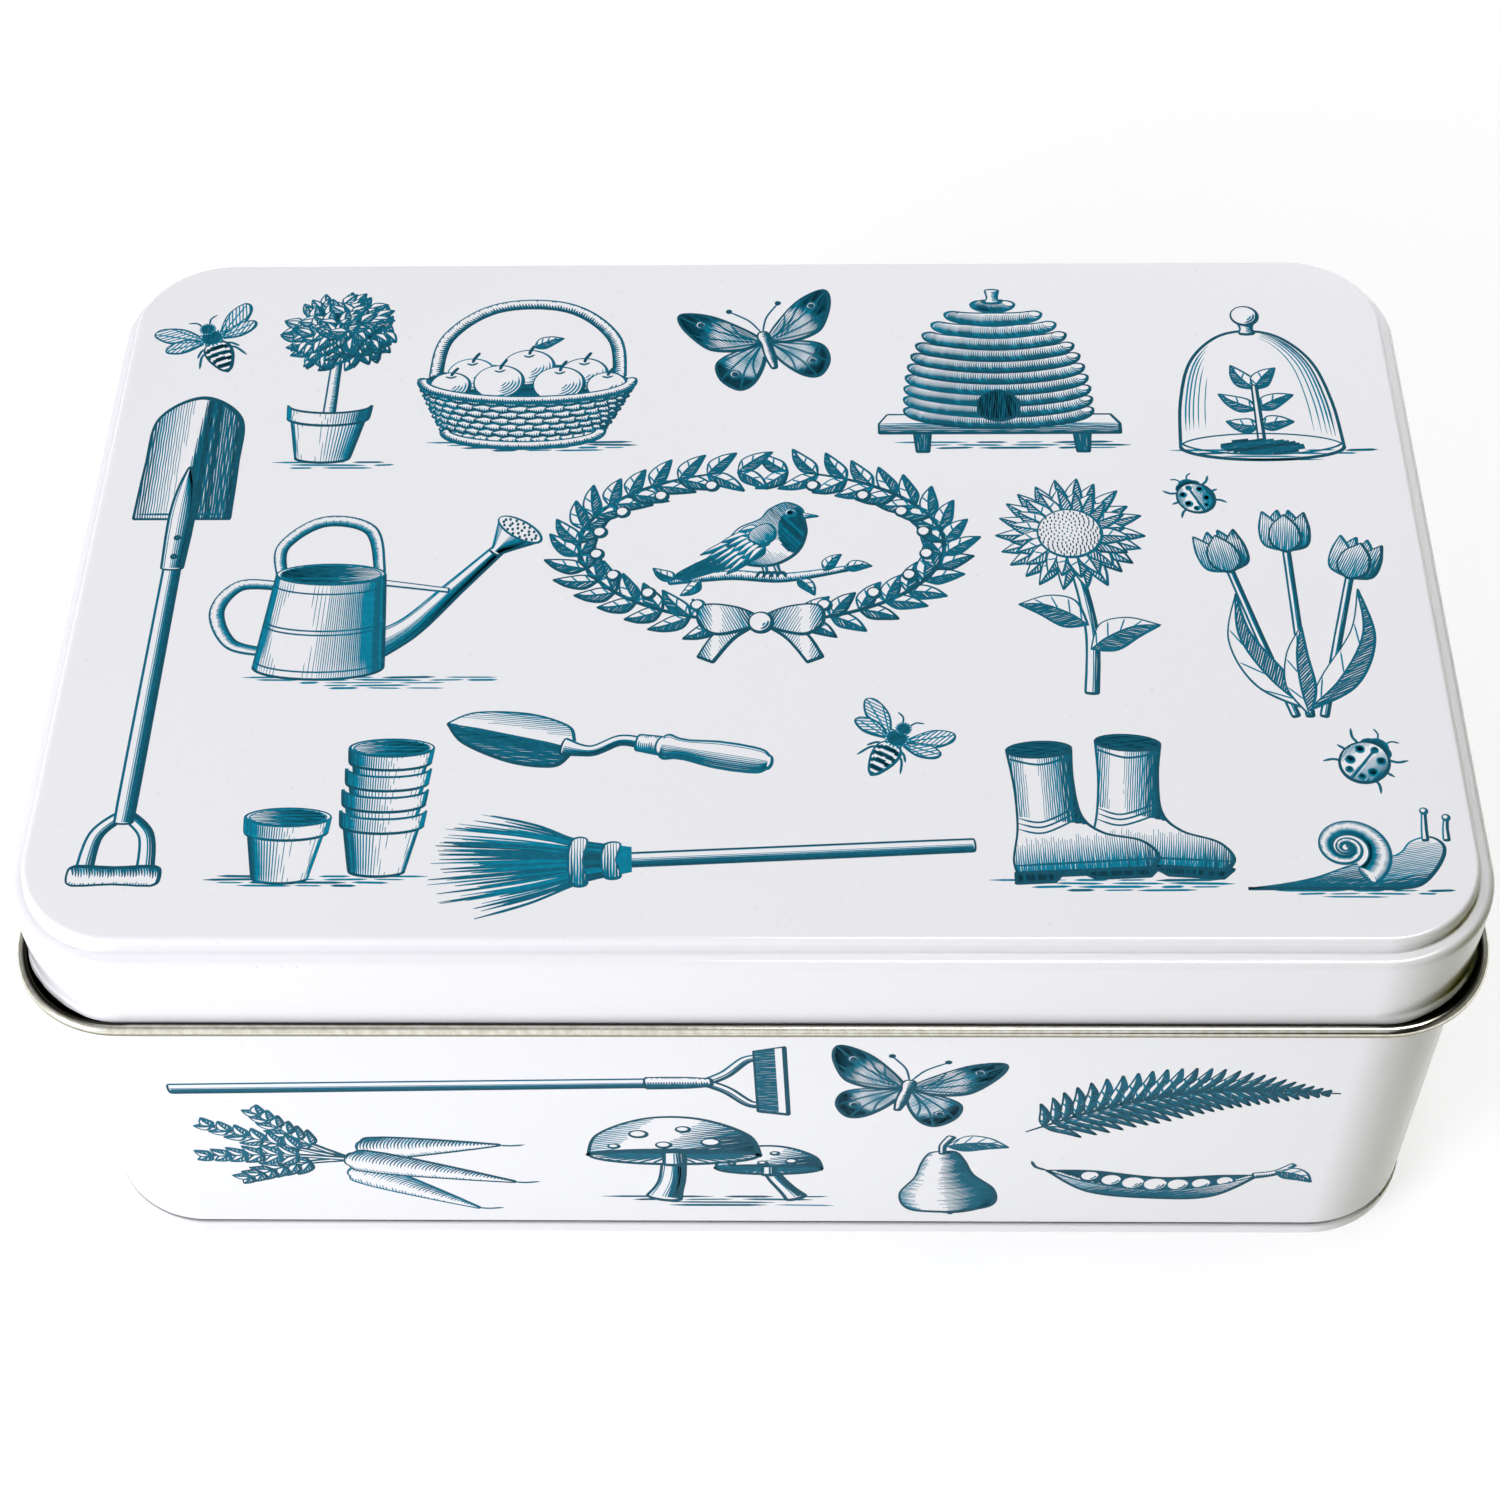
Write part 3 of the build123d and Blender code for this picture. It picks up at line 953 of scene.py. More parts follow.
def basket(plate):
    plate.ground(-26, 32, -12.4, 4)
    handle = curve((-23, 8), (-21, 24), (-9, 35), (9, 35), (21, 24), (23, 8))
    plate.tube(handle, [(0, 1.5), (1, 1.5)], 0.8, 0.6, 0.4)
    mouth = ellipse(0, 8, 26, 6.6)
    plate.cover(mouth)
    plate.hatch(mouth, 0, 0.5, 0.42)
    for x, y, size in ((-14, 11, 6), (0, 13.4, 6.6), (14, 11, 6), (-7, 8.4, 6.2), (8, 7.6, 6.4), (-19, 7, 5),
                       (20, 7, 5)):
        plate.ball(x, y, size, 0.62, 0.94)
        stalk = curve((x, y + size * 0.7), (x + 0.4, y + size * 0.95), (x + 1.6, y + size * 1.3))
        plate.stroke(stalk, 0.6, 0.6)
        dimple = curve((x - 1.4, y + size * 0.66), (x, y + size * 0.58), (x + 1.4, y + size * 0.7))
        plate.stroke(dimple, 0.4)
    plate.leaf(1, 20.6, 8, 3.6, 24)
    side = np.concatenate([nearHalf(0, -8, 19, 4.2), nearHalf(0, 8, 26, 6.6)[::-1]])
    plate.cover(side)
    plate.hatch(side, 90, 0.36, 0.3, graded((-24, 0, 24), (0.7, 0.9, 1.2), 1, 0))
    for row in range(7):
        share = (row + 0.5) / 7
        radius, y = 19 + 7 * share ** 0.9, -8 + 16 * share
        for number in range(17):
            first = 180 + (number - (row % 2) * 0.5) * 180 / 16.5
            ends = max(first - 1.5, 181), min(first + 13.5, 359)
            if ends[1] > ends[0] + 3:
                weave = ellipse(0, y, radius, radius * 0.235, 0, *ends)
                plate.tube(weave, [(0, 0.35), (0.5, 1.15), (1, 0.35)], 0.6, width=0.28)
    for radius, y, first, last in ((26, 8.6, 176, 364), (19, -8.6, 180, 360)):
        plate.tube(ellipse(0, y, radius, radius * 0.25, 0, first, last), [(0, 1.2), (1, 1.2)], 0.7, 0.6, 0.42)


def snail(plate):
    plate.ground(-22, 26, -9.6, 3)
    foot = curve((-26, -9), (-26, -9), (-17, -7.6), (-9, -5.6), (0, -2), (11, 1), (15, 5), (20, 6.4),
                 (23, 3.4), (21, -2), (16, -7.6), (10, -9), (10, -9), closed=True)
    plate.hatch(foot, 12, 0.52, 0.32, graded((-9, -4, 2, 6), (1.3, 0.8, 0.5, 0.2)))
    plate.outline(foot, 0.5)
    for x, y in ((19.4, 14.4), (24.6, 12.4)):
        plate.tube(curve((x - 0.8, 5.6), (x - 0.6, 9), (x, y)), [(0, 0.7), (1, 0.4)], style="none")
        plate.ball(x, y, 0.85, 0.4)
    turn = np.linspace(0, 4.7 * math.pi, 400)
    reach = 9.2 * np.exp(0.163 * (turn - turn[-1]))
    way = np.stack([np.cos(1.1 - turn), np.sin(1.1 - turn)], 1) * reach[:, None]
    outer = turn > turn[-1] - 2 * math.pi
    plate.cover((way * (1.36, 1.31) + (-1, 3.2))[outer])
    spiral = respace(way * (1.04, 1) + (-1, 3.2))
    shares = np.linspace(0, 1, 40)
    sizes = np.interp(shares, np.linspace(0, 1, len(spiral)), np.hypot(*(spiral - (-1, 3.2)).T) * 0.31 + 0.05)
    shading = ((0, 1.2), (0.25, 0.9), (0.5, 0.3), (0.7, 0.15), (1, 0.9))
    plate.tube(spiral, list(zip(shares, sizes)), 0.62, 0.35, 0.36, shading=shading, cover=False)


def carrots(plate):
    for turn, length in ((54, 22), (128, 21), (78, 27), (104, 26)):
        x, y = place([(length, 0)], 0, 11, turn)[0]
        stem = curve((0, 9), (x * 0.4, 9 + (y - 9) * 0.55), (x, y))
        plate.tube(stem, [(0, 0.6), (1, 0.3)], style="none")
        for number in range(6):
            spot = int(len(stem) * (0.36 + 0.125 * number))
            for side in (1, -1):
                angle = heading(stem, spot) + side * (46 - 3 * number)
                plate.leaf(*stem[spot], 6.2 - number * 0.5, 2.5, angle, 0.1, 0, 0.62)
    for top, tip in (((-4.4, 7), (-13, -20)), ((5, 7), (14, -19)), ((0, 8.6), (0, -25))):
        tip = np.array(tip, float)
        root = [(0, 2.6), (0.06, 4.3), (0.3, 3.9), (0.7, 2.0), (0.93, 0.7), (1, 0.3)]
        plate.tube(path(top, tip), root, 0.7, 0.5, 0.3)
        plate.stroke(curve(tip, tip + (0.4, -2.4), tip + (1.6, -5)), 0.4)


def sunflower(plate):
    plate.tube(curve((2, -34), (3, -16), (0, 6)), [(0, 1.4), (1, 1.1)], 0.4, style="along")
    plate.leaf(2.6, -22, 17, 8, 24, 0.2)
    plate.leaf(2.4, -15, 16, 8, 158, -0.2)
    for start, count, length in ((0, 22, 11.5), (0.5, 20, 8.2)):
        for number in range(count):
            angle = 360 * (number + start) / count
            reach, turn = length + hand.uniform(-0.8, 0.8), angle + hand.uniform(-5, 5)
            plate.leaf(*place([(5, 0)], 0, 12, angle)[0], reach, 4.4, turn, 0.05, 1, 0.62, 0.9)
    face = circle(0, 12, 7.2)
    plate.cover(face)
    for number in range(150):  # seeds, each turned by the golden angle from the last
        r, angle = 6.9 * math.sqrt((number + 0.5) / 150), number * 2.39996
        x, y = r * math.cos(angle), 12 + r * math.sin(angle)
        plate.stroke(path((x - 0.16, y), (x + 0.16, y)), 0.52 + 0.05 * r + 0.015 * (x - y), 0.9)
    plate.outline(face, 0.4)


def topiary(plate):
    plate.ground(-14, 20, -1.4, 3)
    plate.tube(path((0, 14), (0, 32)), [(0, 1.3), (1, 1.1)], 0.5)
    leaves = [(hand.uniform(0, 1) ** 0.5, hand.uniform(0, 360)) for number in range(150)]
    plate.cover(circle(0, 42, 10))
    plate.hatch(circle(0, 42, 10), 60, 0.42, 0.42)
    for share, angle in sorted(leaves, reverse=True):
        turn = angle + hand.uniform(-50, 50)
        x, y = place([(13 * share - 1, 0)], 0, 42, angle)[0] - place([(2, 0)], turn=turn)[0]
        dark = np.interp(x * 0.6 - (y - 42) * 0.8, (-13, 13), (0.5, 1.3))
        plate.leaf(x, y, 4.8, 2.7, turn, 0.05, 0, 0.5, dark)
    flowerPot(plate, 0, 0, 0.95, False)


def ladybird(plate):
    for side in (1, -1):
        for up in (1, 0, -1):
            leg = curve((side * 3, up * 3.4), (side * 6.6, up * 4.48), (side * 8.6, up * 6.76))
            plate.stroke(leg, 0.5, 0.4)
        plate.stroke(curve((side * 1, 7.4), (side * 2, 9.4), (side * 3.8, 10.2)), 0.34, 0.7)
    for y, rx, ry, gap in ((6.3, 2.6, 2.0, 0.36), (5, 4.2, 2.4, 0.38)):
        plate.shape(ellipse(0, y, rx, ry), 30, gap, 0.38, 0.4)
    shell = ellipse(0, -0.6, 6.2, 6.8)
    plate.cover(shell)
    plate.hatch(shell, 90, 0.5, 0.3, graded((-6, -3, -1, 3, 7), (0.8, 0.2, 0.1, 0.7, 1.3), 1, -0.3))
    for x, y, radius in ((-3.2, 2.4, 1.1), (3.2, 2.4, 1.1), (-3.4, -2, 1.2), (3.4, -2, 1.2),
                         (-1.9, -4.9, 0.9), (1.9, -4.9, 0.9), (0, 4.4, 0.9)):
        plate.hatch(circle(x, y, radius), 20, 0.3, 0.36)
        plate.outline(circle(x, y, radius), 0.3)
    plate.stroke(path((0, 4.6), (0, -7.3)), 0.5, 0.8)
    plate.outline(shell, 0.5)


def pear(plate):
    left = curve((0, 12.4), (-2.6, 12), (-4.6, 8), (-6.4, 2), (-10.2, -5), (-8.6, -12), (0, -14.2))
    right = curve((0, 12.4), (2.8, 12), (4.4, 8), (5.8, 2), (9.8, -5), (8.8, -12), (0, -14.2))
    edge = np.concatenate([left, right[::-1]])
    plate.cover(edge)
    shading = ((0, 0.8), (0.12, 0.3), (0.22, 0), (0.42, 0.2), (0.7, 0.9), (0.92, 1.3), (1, 1.1))
    plate.between(left, right, 0.56, 0.36, shading, 0.12)
    plate.outline(edge, 0.48)
    plate.tube(curve((0, 11.6), (0.4, 15), (2.4, 18.4)), [(0, 0.5), (1, 0.8)], 0.5)
    plate.leaf(1, 14.6, 13, 6, -8, 0.2)
    plate.stroke(path((-1, -13.9), (0, -15), (1.2, -13.9)), 0.5, 0.5)


def hoe(plate):
    plate.tube(path((-58, 0), (36, 0)), [(0, 1.2), (0.02, 1.6), (1, 1.5)], 0.42, width=0.34, style="along")
    for side in (1, -1):
        fork = curve((44, 0), (48, side * 3), (52, side * 8), (55, side * 8.6))
        plate.tube(fork, [(0, 1.1), (1, 0.9)], 0.5, style="along")
    blade = path((53.6, 11), (59.4, 12.4), (59.4, -12.4), (53.6, -11), closed=True)
    plate.shape(blade, 0, 0.5, 0.32, 0.5, graded((53.6, 57.6, 57.8, 59.4), (1.0, 1.0, 0.15, 0.1), 1, 0))
    plate.tube(path((33, 0), (45, 0)), [(0, 2.0), (0.6, 1.9), (1, 1.3)], 0.5, width=0.36)


def besom(plate):
    plate.tube(path((-58, 0), (16, 0)), [(0, 1.2), (0.03, 1.6), (1, 1.7)], 0.42, width=0.34, style="along")
    for number in range(76):
        share = 1 - 2 * (number * 0.618 % 1)
        reach = hand.uniform(44, 58) - 7 * share * share
        far = share * hand.uniform(11, 14)
        twig = curve((14, share * 3.2), (24, share * 5.2), ((24 + reach) / 2, far * 0.75), (reach, far))
        plate.stroke(twig, hand.uniform(0.22, 0.5))
    for x, radius in ((18, 4.2), (25, 5.6)):
        band = curve((x - 1.6, radius), (x - 0.7, 0), (x - 1.6, -radius), (x + 1.6, -radius), (x + 2.6, 0),
                     (x + 1.6, radius), closed=True)
        plate.shape(band, 90, 0.62, 0.34, 0.42, graded((-4, 0, 4), (1.2, 0.8, 0.3)))


def mushrooms(plate):
    plate.ground(-18, 26, -12.4, 4)
    for x, y, size, lean in ((10, -4, 0.62, 4), (-4, 0, 1.0, -2)):
        stalk = curve((x + lean, -12.5), (x + lean * 0.3, -7), (x, y + 1))
        plate.tube(stalk, [(0, 2.6 * size), (0.3, 1.9 * size), (1, 1.6 * size)], 0.42, 0.4, style="along")
        under = ellipse(x, y + 0.4, 12.6 * size, 2.8 * size)
        plate.cover(under)
        for gill in ring(34, 12.4 * size, 2.7 * size):
            plate.stroke(path((x, y + 0.6), (x, y + 0.6) + (gill - (0, 0.2)) * 0.96), 0.3, 0.5)
        plate.outline(under, 0.36)
        neck = path((x, y - 2.4 * size), (x, y + 0.8))
        plate.tube(neck, [(0, 1.6 * size), (1, 1.5 * size)], 0.42, 0.2, style="along")
        knots = (-12.8, 0), (-11, 6.4), (-4, 11), (4, 11), (11, 6.4), (12.8, 0)
        rim = ellipse(x, y + 0.2, 12.7 * size, 1.6 * size, 0, 0, 180)
        dome = np.concatenate([curve(*place(knots, x, y, 0, size)), rim])
        plate.shape(dome, 12, 0.52, 0.34, 0.5, lambda p: np.interp(
            (p[:, 0] - x - 0.7 * (p[:, 1] - y)) / size, (-14, -8, -3, 3, 12), (0.5, 0.1, 0.25, 0.8, 1.4)))
        for dx, dy, r in ((-5, 6.6, 1.3), (1.6, 8, 1.0), (5.6, 4.2, 1.4), (-1.4, 3.4, 1.1), (-8.8, 3, 0.8)):
            plate.blank(ellipse(x + dx * size, y + dy * size, r * size, r * 0.75 * size), 0.3)


def peaPod(plate):
    low, top = (curve((-22, 2), (-12, y - 0.5), (2, y - 2), (14, y), (22, 4)) for y in (-5.6, 3.0))
    plate.cover(np.concatenate([low, top[::-1]]))
    inner = np.concatenate([curve((-20, 1.8), (-10, -2.6), (2, -4.4), (12, -2), (20, 3.4)), top[::-1]])
    plate.hatch(inner, 0, 0.42, 0.36)
    for number in range(7):
        x = -12.6 + 4.7 * number
        plate.ball(x, -1.9 + 0.0125 * (x - 1) ** 2, 2.7 - 0.05 * abs(x))
    shell = np.concatenate([low, curve((22, 4), (14, -1), (2, -4.2), (-12, -2.4), (-22, 2))])
    plate.shape(shell, 22, 0.5, 0.34, 0.46, graded((-8, -4, 0), (1.3, 0.7, 0.3)))
    plate.stroke(top, 0.5, 0.6)
    plate.tube(curve((21, 3.8), (25, 5.4), (28, 9)), [(0, 1.0), (1, 0.6)], 0.5)
    plate.stroke(curve((-21.8, 2), (-24.4, 3.2), (-25.6, 5.6)), 0.5)
    plate.leaf(25, 5.8, 9, 4.4, -24, 0.2, 4)


def robin(plate):
    branch = curve((-26, -16), (-8, -13.6), (8, -14.6), (27, -11))
    plate.tube(branch, [(0, 1.2), (0.5, 1.7), (1, 0.9)], 0.7, 0.5, 0.36)
    for x, y, turn in ((-24, -15, 150), (20, -12, 52), (26, -11, 6), (-17, -15.6, 226), (12, -15, -52)):
        plate.leaf(x, y, 8.4, 4, turn, 0.15, 4)
    tail = curve((-9, -3), (-9, -3), (-22, -11.4), (-25, -14.6), (-25, -14.6), (-21.6, -15.6), (-21.6, -15.6),
                 (-6, -8.6), closed=True)
    plate.shape(tail, 28, 0.6, 0.42, 0.46)
    for x, foot in ((1.6, 2.6), (5.2, 6.6)):
        plate.tube(curve((x, -8), (x + 0.6, -10.6), (foot, -13)), [(0, 0.75), (1, 0.5)], 0.5)
        for toe in (-2.2, -0.4, 1.6):
            plate.stroke(curve((foot, -13), (foot + toe * 0.8, -12.6), (foot + toe * 1.3, -14.6)), 0.6, 0.5)
    body = curve((-10, -2.6), (-6, 5), (0.6, 9), (3.4, 13), (8.4, 15.8), (13, 13.6), (14, 9.4), (14.6, 3),
                 (12, -4.4), (5.4, -9.4), (-2.4, -9.6), (-8.6, -6), closed=True)
    back = graded((-11, -5, 2, 8, 16), (1.1, 0.35, 0.2, 0.55, 0.8), 0.5, 1)
    plate.shape(body, -52, 0.5, 0.3, 0.5, lambda p: np.where(
        np.hypot((p[:, 0] - 11.6) / 5.4, (p[:, 1] - 4.4) / 9.2) < 1, 1.35, back(p)))
    for count, x, y, reach, width, turn, spread in ((6, -3.2, 2.1, 16, 3.0, 212, 3.4),
                                                    (6, -1.2, 3.6, 10.6, 3.2, 208, 5.6),
                                                    (5, 0.4, 5.6, 6.4, 3.0, 204, 9)):
        for number in range(count):
            plate.leaf(x + 0.7 * number, y - 1.15 * number, reach - 0.5 * number, width,
                       turn + spread * (number - 1), 0.0, 0, 0.5, 1.1)
    shoulder = curve((2.6, 7.2), (-1.8, 4.6), (-2.6, 1), (1, -1.4), (4.8, 0.8), (5.2, 4.8), closed=True)
    plate.shape(shoulder, -52, 0.5, 0.3, 0.4, graded((-8, -2, 4), (0.3, 0.6, 1.2), 1, -1))
    plate.blank(path((13.6, 11.6), (18.4, 10.2), (13.8, 9.4), closed=True))
    plate.stroke(path((13.8, 10.5), (17.6, 10.3)), 0.3)
    plate.blank(ellipse(9.9, 11.6, 1.7, 1.6), 0.26)
    plate.hatch(circle(9.9, 11.5, 1.15), 0, 0.3, 0.42)
    plate.outline(circle(9.9, 11.5, 1.0), 0.4)


def wreath(plate):
    for side in (1, -1):
        for number in range(17):
            angle = math.radians(-78 + number * 10)
            way = np.array((side * math.cos(angle), math.sin(angle)))
            x, y = way * (36, 20)
            along = math.degrees(math.atan2(20 * math.cos(angle), -side * 36 * math.sin(angle)))
            for spread in (-38, 38):
                length, turn = 8.2 + hand.uniform(-0.6, 0.8), along + spread + hand.uniform(-6, 6)
                plate.leaf(x, y, length, 3.4, turn, 0.1, 3)
            if number % 2:
                plate.stroke(path((x, y), (x, y) - 2.4 * way), 0.3)
                plate.ball(*((x, y) - 3.2 * way), 1.3, 0.42)
        plate.stroke(ellipse(0, 0, 36, 20, 0, 270, 270 + side * 165), 0.6, 0.5)
    ribbon = graded((0, 5, 9, 12), (1.2, 0.5, 0.15, 1.0), 1, 0)
    for side in (1, -1):
        loop = curve((0, -20), (4, -16.4), (11, -15.6), (12, -20), (8, -23), closed=True)
        tail = curve((0, -20), (5, -24), (9, -30), (9, -30), (12, -28.6), (12, -28.6), (8, -22), (0, -19),
                     closed=True)
        for part in (tail, loop):
            plate.shape(part * (side, 1), 90 - side * 25, 0.5, 0.34, 0.42, lambda p: ribbon(abs(p)))
    plate.ball(0, -20, 2.3, 0.45, 1.1)


def butterfly(plate):
    wings = (
        (curve((0, 0), (0, 0), (6, -0.5), (11.5, -3), (12, -8), (9, -12), (5.5, -11), (2, -6), closed=True),
         (4.5, -4), 6.6),
        (curve((0, 1), (0, 1), (4, 6), (10, 11.5), (16, 13.5), (16.5, 9.5), (13.5, 3), (10.5, 0.5), (5, -0.5),
               closed=True), (5, 3.5), 8.8),
    )
    for side in (1, -1):
        for wing, centre, dark in wings:
            wing = wing * (side, 1)
            marks = 0, dark * 0.55, dark * 0.8, dark
            plate.cover(wing)
            plate.hatch(wing, 90 - side * 42, 0.46, 0.32, lambda p: np.interp(
                np.hypot(*(p * (side, 1) - centre).T), marks, (0.9, 0.3, 0.9, 1.6)))
            for tip in range(5):
                x, y = wing[int(len(wing) * (0.2 + 0.13 * tip))]
                plate.stroke(curve((side * 0.6, 0.6), (side * 2 + x * 0.45, y * 0.5), (x, y)), 0.34, 0.4)
            plate.outline(wing, 0.5)
    for x, y in ((12.4, 9.2), (8.6, -7.4)):
        for side in (1, -1):
            plate.blank(circle(side * x, y, 1.1), 0.34)
            plate.stroke(circle(side * x, y, 0.385), 0.5, 1)
    body = [(0, 0.5), (0.35, 1.1), (0.7, 0.9), (0.85, 1.4), (1, 0.9)]
    plate.tube(path((0, -7.5), (0, 3.6)), body, 0.55, width=0.4)
    for side in (1, -1):
        plate.stroke(curve((side * 0.3, 4), (side * 2, 8), (side * 5.4, 11.6)), 0.3, 0.8)
        plate.stroke(circle(side * 5.5, 11.8, 0.35), 0.5, 1)


def bee(plate):
    for side in (1, -1):
        for turn, length, width in ((38, 12.5, 4.8), (8, 9.5, 3.8)):
            angle = turn if side > 0 else 180 - turn
            wing = curve((0, 0), (0, 0), (0.5 * length, -width * 0.5), (0.93 * length, -width * 0.3),
                         (length, width * 0.22), (0.6 * length, width * 0.5), closed=True)
            wing = place(wing, side * 1.2, 1.2, angle)
            plate.cover(wing)
            plate.hatch(wing, angle + 35, 0.8, 0.22)
            for share in (0.355, 0.51, 0.665):
                plate.stroke(path((side * 1.2, 1.2), wing[int(len(wing) * share)]), 0.26, 0.5)
            plate.outline(wing, 0.36)
        for x, y in ((5, -1.5), (5.6, -5), (4.2, 5)):
            leg = curve((side * 1.5, y * 0.4), (side * x * 0.7, y * 0.5 - 0.5), (side * x, y - 1.6))
            plate.stroke(leg, 0.42, 0.4)
        plate.stroke(curve((side * 0.6, 5.6), (side * 1.6, 8), (side * 3.4, 8.8)), 0.32, 0.6)
    body = curve((0, 0.8), (2.7, -1), (2.9, -4.6), (1.4, -8.6), (0, -10), (0, -10), (-1.4, -8.6),
                 (-2.9, -4.6), (-2.7, -1), closed=True)
    plate.shape(body, 0, 0.36, 0.34, 0.42, lambda p: np.where(
        np.sin((p[:, 1] + p[:, 0] ** 2 * 0.08) * 3.1) > -0.1, 1.3, 0.1))
    for radius, y in ((2.5, 2.1), (1.7, 5.2)):
        plate.cover(circle(0, y, radius))
        plate.hatch(circle(0, y, radius), 60, 0.4, 0.34)
        for way in ring(18, radius, radius):
            plate.stroke(path((0, y) + way * 0.8, (0, y) + way * 1.16), 0.3)


def beehive(plate):
    plate.ground(-27, 34, -26, 3)
    board = path((-26, -17), (26, -17), (28, -20), (28, -23), (-28, -23), (-28, -20), closed=True)
    for x in (-20, 17):
        leg = path((x, -22), (x + 4, -22), (x + 3.4, -29), (x + 0.6, -29), closed=True)
        plate.shape(leg, 90, 0.5, 0.36, 0.44)
    plate.shape(board, 0, 0.55, 0.3, 0.48, graded((-23, -20.2, -20, -17), (1.2, 0.9, 0.25, 0.1)))
    plate.stroke(path((-28, -20), (28, -20)), 0.34)
    shading = ((0, 0.15), (0.3, 0.35), (0.7, 1.0), (1, 1.3))
    for number in range(11):
        share = number / 10
        radius = 20.5 * math.sqrt(max(0.02, 1 - (share * 0.985) ** 2.3))
        coil = ellipse(0, -15.5 + 36 * share, radius, radius * 0.17 + 0.3, 0, 178, 362)
        plate.tube(coil, [(0, 1.6), (0.5, 2.25), (1, 1.6)], 0.62, 0.5, 0.36, shading=shading)
    door = curve((-4.6, -17.4), (-4.6, -17.4), (-4.4, -12), (0, -9), (4.4, -12), (4.6, -17.4), (4.6, -17.4),
                 (0, -19), closed=True)
    plate.shape(door, 90, 0.4, 0.42, 0.5)
    plate.tube(path((0, 21), (0, 25)), [(0, 2.2), (0.3, 1.2), (1, 1.6)], 0.5)


def fern(plate):
    rib = curve((-28, -8), (-12, -1), (6, 2), (28, -2))
    for number in range(24):
        share = 0.06 + 0.92 * number / 24
        spot = int(share * (len(rib) - 1))
        length = 12.5 * math.sin(math.pi * (0.12 + 0.86 * share)) ** 0.8 * (1.15 - share * 0.7)
        for side in (1, -1):
            turn = heading(rib, spot) + side * (64 - 28 * share)
            plate.leaf(*rib[spot], max(length, 1.8), max(length * 0.2, 1.0), turn, -0.25 * side, 3, 0.44)
    plate.stroke(rib, 0.62, 0.4)


def tulip(plate, x, y, turn):
    back = curve((0, 0), (0, 0), (3.6, 4), (3.0, 9.4), (1.2, 12.4), (1.2, 12.4), (0.2, 8), closed=True)
    side = curve((0, 0), (0, 0), (4.6, 1.6), (5.6, 6.4), (4.7, 11.8), (4.7, 11.8), (1.6, 8), (0.4, 3),
                 closed=True)
    front = curve((0, -0.2), (3.3, 2.4), (3.0, 7.2), (0.2, 11), (0.2, 11), (-2.9, 7.2), (-3.2, 2.4),
                  closed=True)
    for petal, flip, dark in ((back, 1, 1.2), (back, -1, 1.1), (side, -1, 0.8), (side, 1, 1.1),
                              (front, 1, 0.8)):
        petal = place(petal, x, y, turn, 1, flip)
        low = petal[:, 1].min()
        tone = graded((low, low + 5, low + 9, low + 12), (1.2, 0.9, 0.4, 0.9))
        plate.shape(petal, 84 + turn, 0.48, 0.32 * dark, 0.42, tone)


def tulips(plate):
    for x, y, turn, foot in ((-13, 13, 14, -3), (0, 19, -2, 0), (13, 11, -20, 3)):
        stalk = curve((foot, -28), (x * 0.55 + foot * 0.3, -8), (x, y))
        plate.tube(stalk, [(0, 0.8), (1, 0.7)], 0.4, style="along")
        tulip(plate, x, y, turn)
    plate.leaf(1, -27, 36, 7.5, 112, 0.55, 4, 0.55)
    plate.leaf(-1, -27, 38, 7.5, 66, -0.55, 4, 0.55)
    plate.leaf(0, -28, 25, 6.2, 88, 0.2, 3, 0.55)


def cloche(plate):
    plate.ground(-22, 26, -18, 4)
    for y, length, turn in ((-6, 9, 150), (-6, 9, 28), (0, 8.4, 122), (0, 8, 52), (-11, 7, 168),
                            (-11, 7.4, 10)):
        plate.leaf(0, y, length, 4, turn, 0.1, 3)
    plate.tube(path((0, -17), (0, 1)), [(0, 0.7), (1, 0.5)], style="none")
    plate.hatch(ellipse(0, -17, 9, 2.2), 10, 0.5, 0.4)
    bell = curve((-17, -17), (-16, -4), (-13, 8), (-7, 15.5), (0, 17.6), (7, 15.5), (13, 8), (16, -4),
                 (17, -17))
    for inset, tone in ((1.3, 0.9), (2.1, 0.8), (3.0, 0.7), (4.1, 0.6), (5.6, 0.5)):
        for first, last, width in ((0.54, 0.97, 0.36), (0.05, 0.42 - inset * 0.03, 0.30)):
            gleam = bell[int(len(bell) * first):int(len(bell) * last)] * (1 - inset / 17, 1 - inset * 0.02)
            plate.stroke(gleam, width * tone, 0.2)
    plate.stroke(bell, 0.5, 1)
    plate.stroke(nearHalf(0, -17, 17, 3.8), 0.6, 1)
    plate.stroke(nearHalf(0, -15.4, 16.9, 3.8), 0.34, 1)
    plate.stroke(ellipse(0, -17, 17, 3.8, 0, 0, 180), 0.28, 1)
    plate.tube(path((0, 17), (0, 20)), [(0, 1.6), (0.5, 1.2), (1, 1.6)], 0.5)
    plate.ball(0, 22.4, 2.9, 0.45)


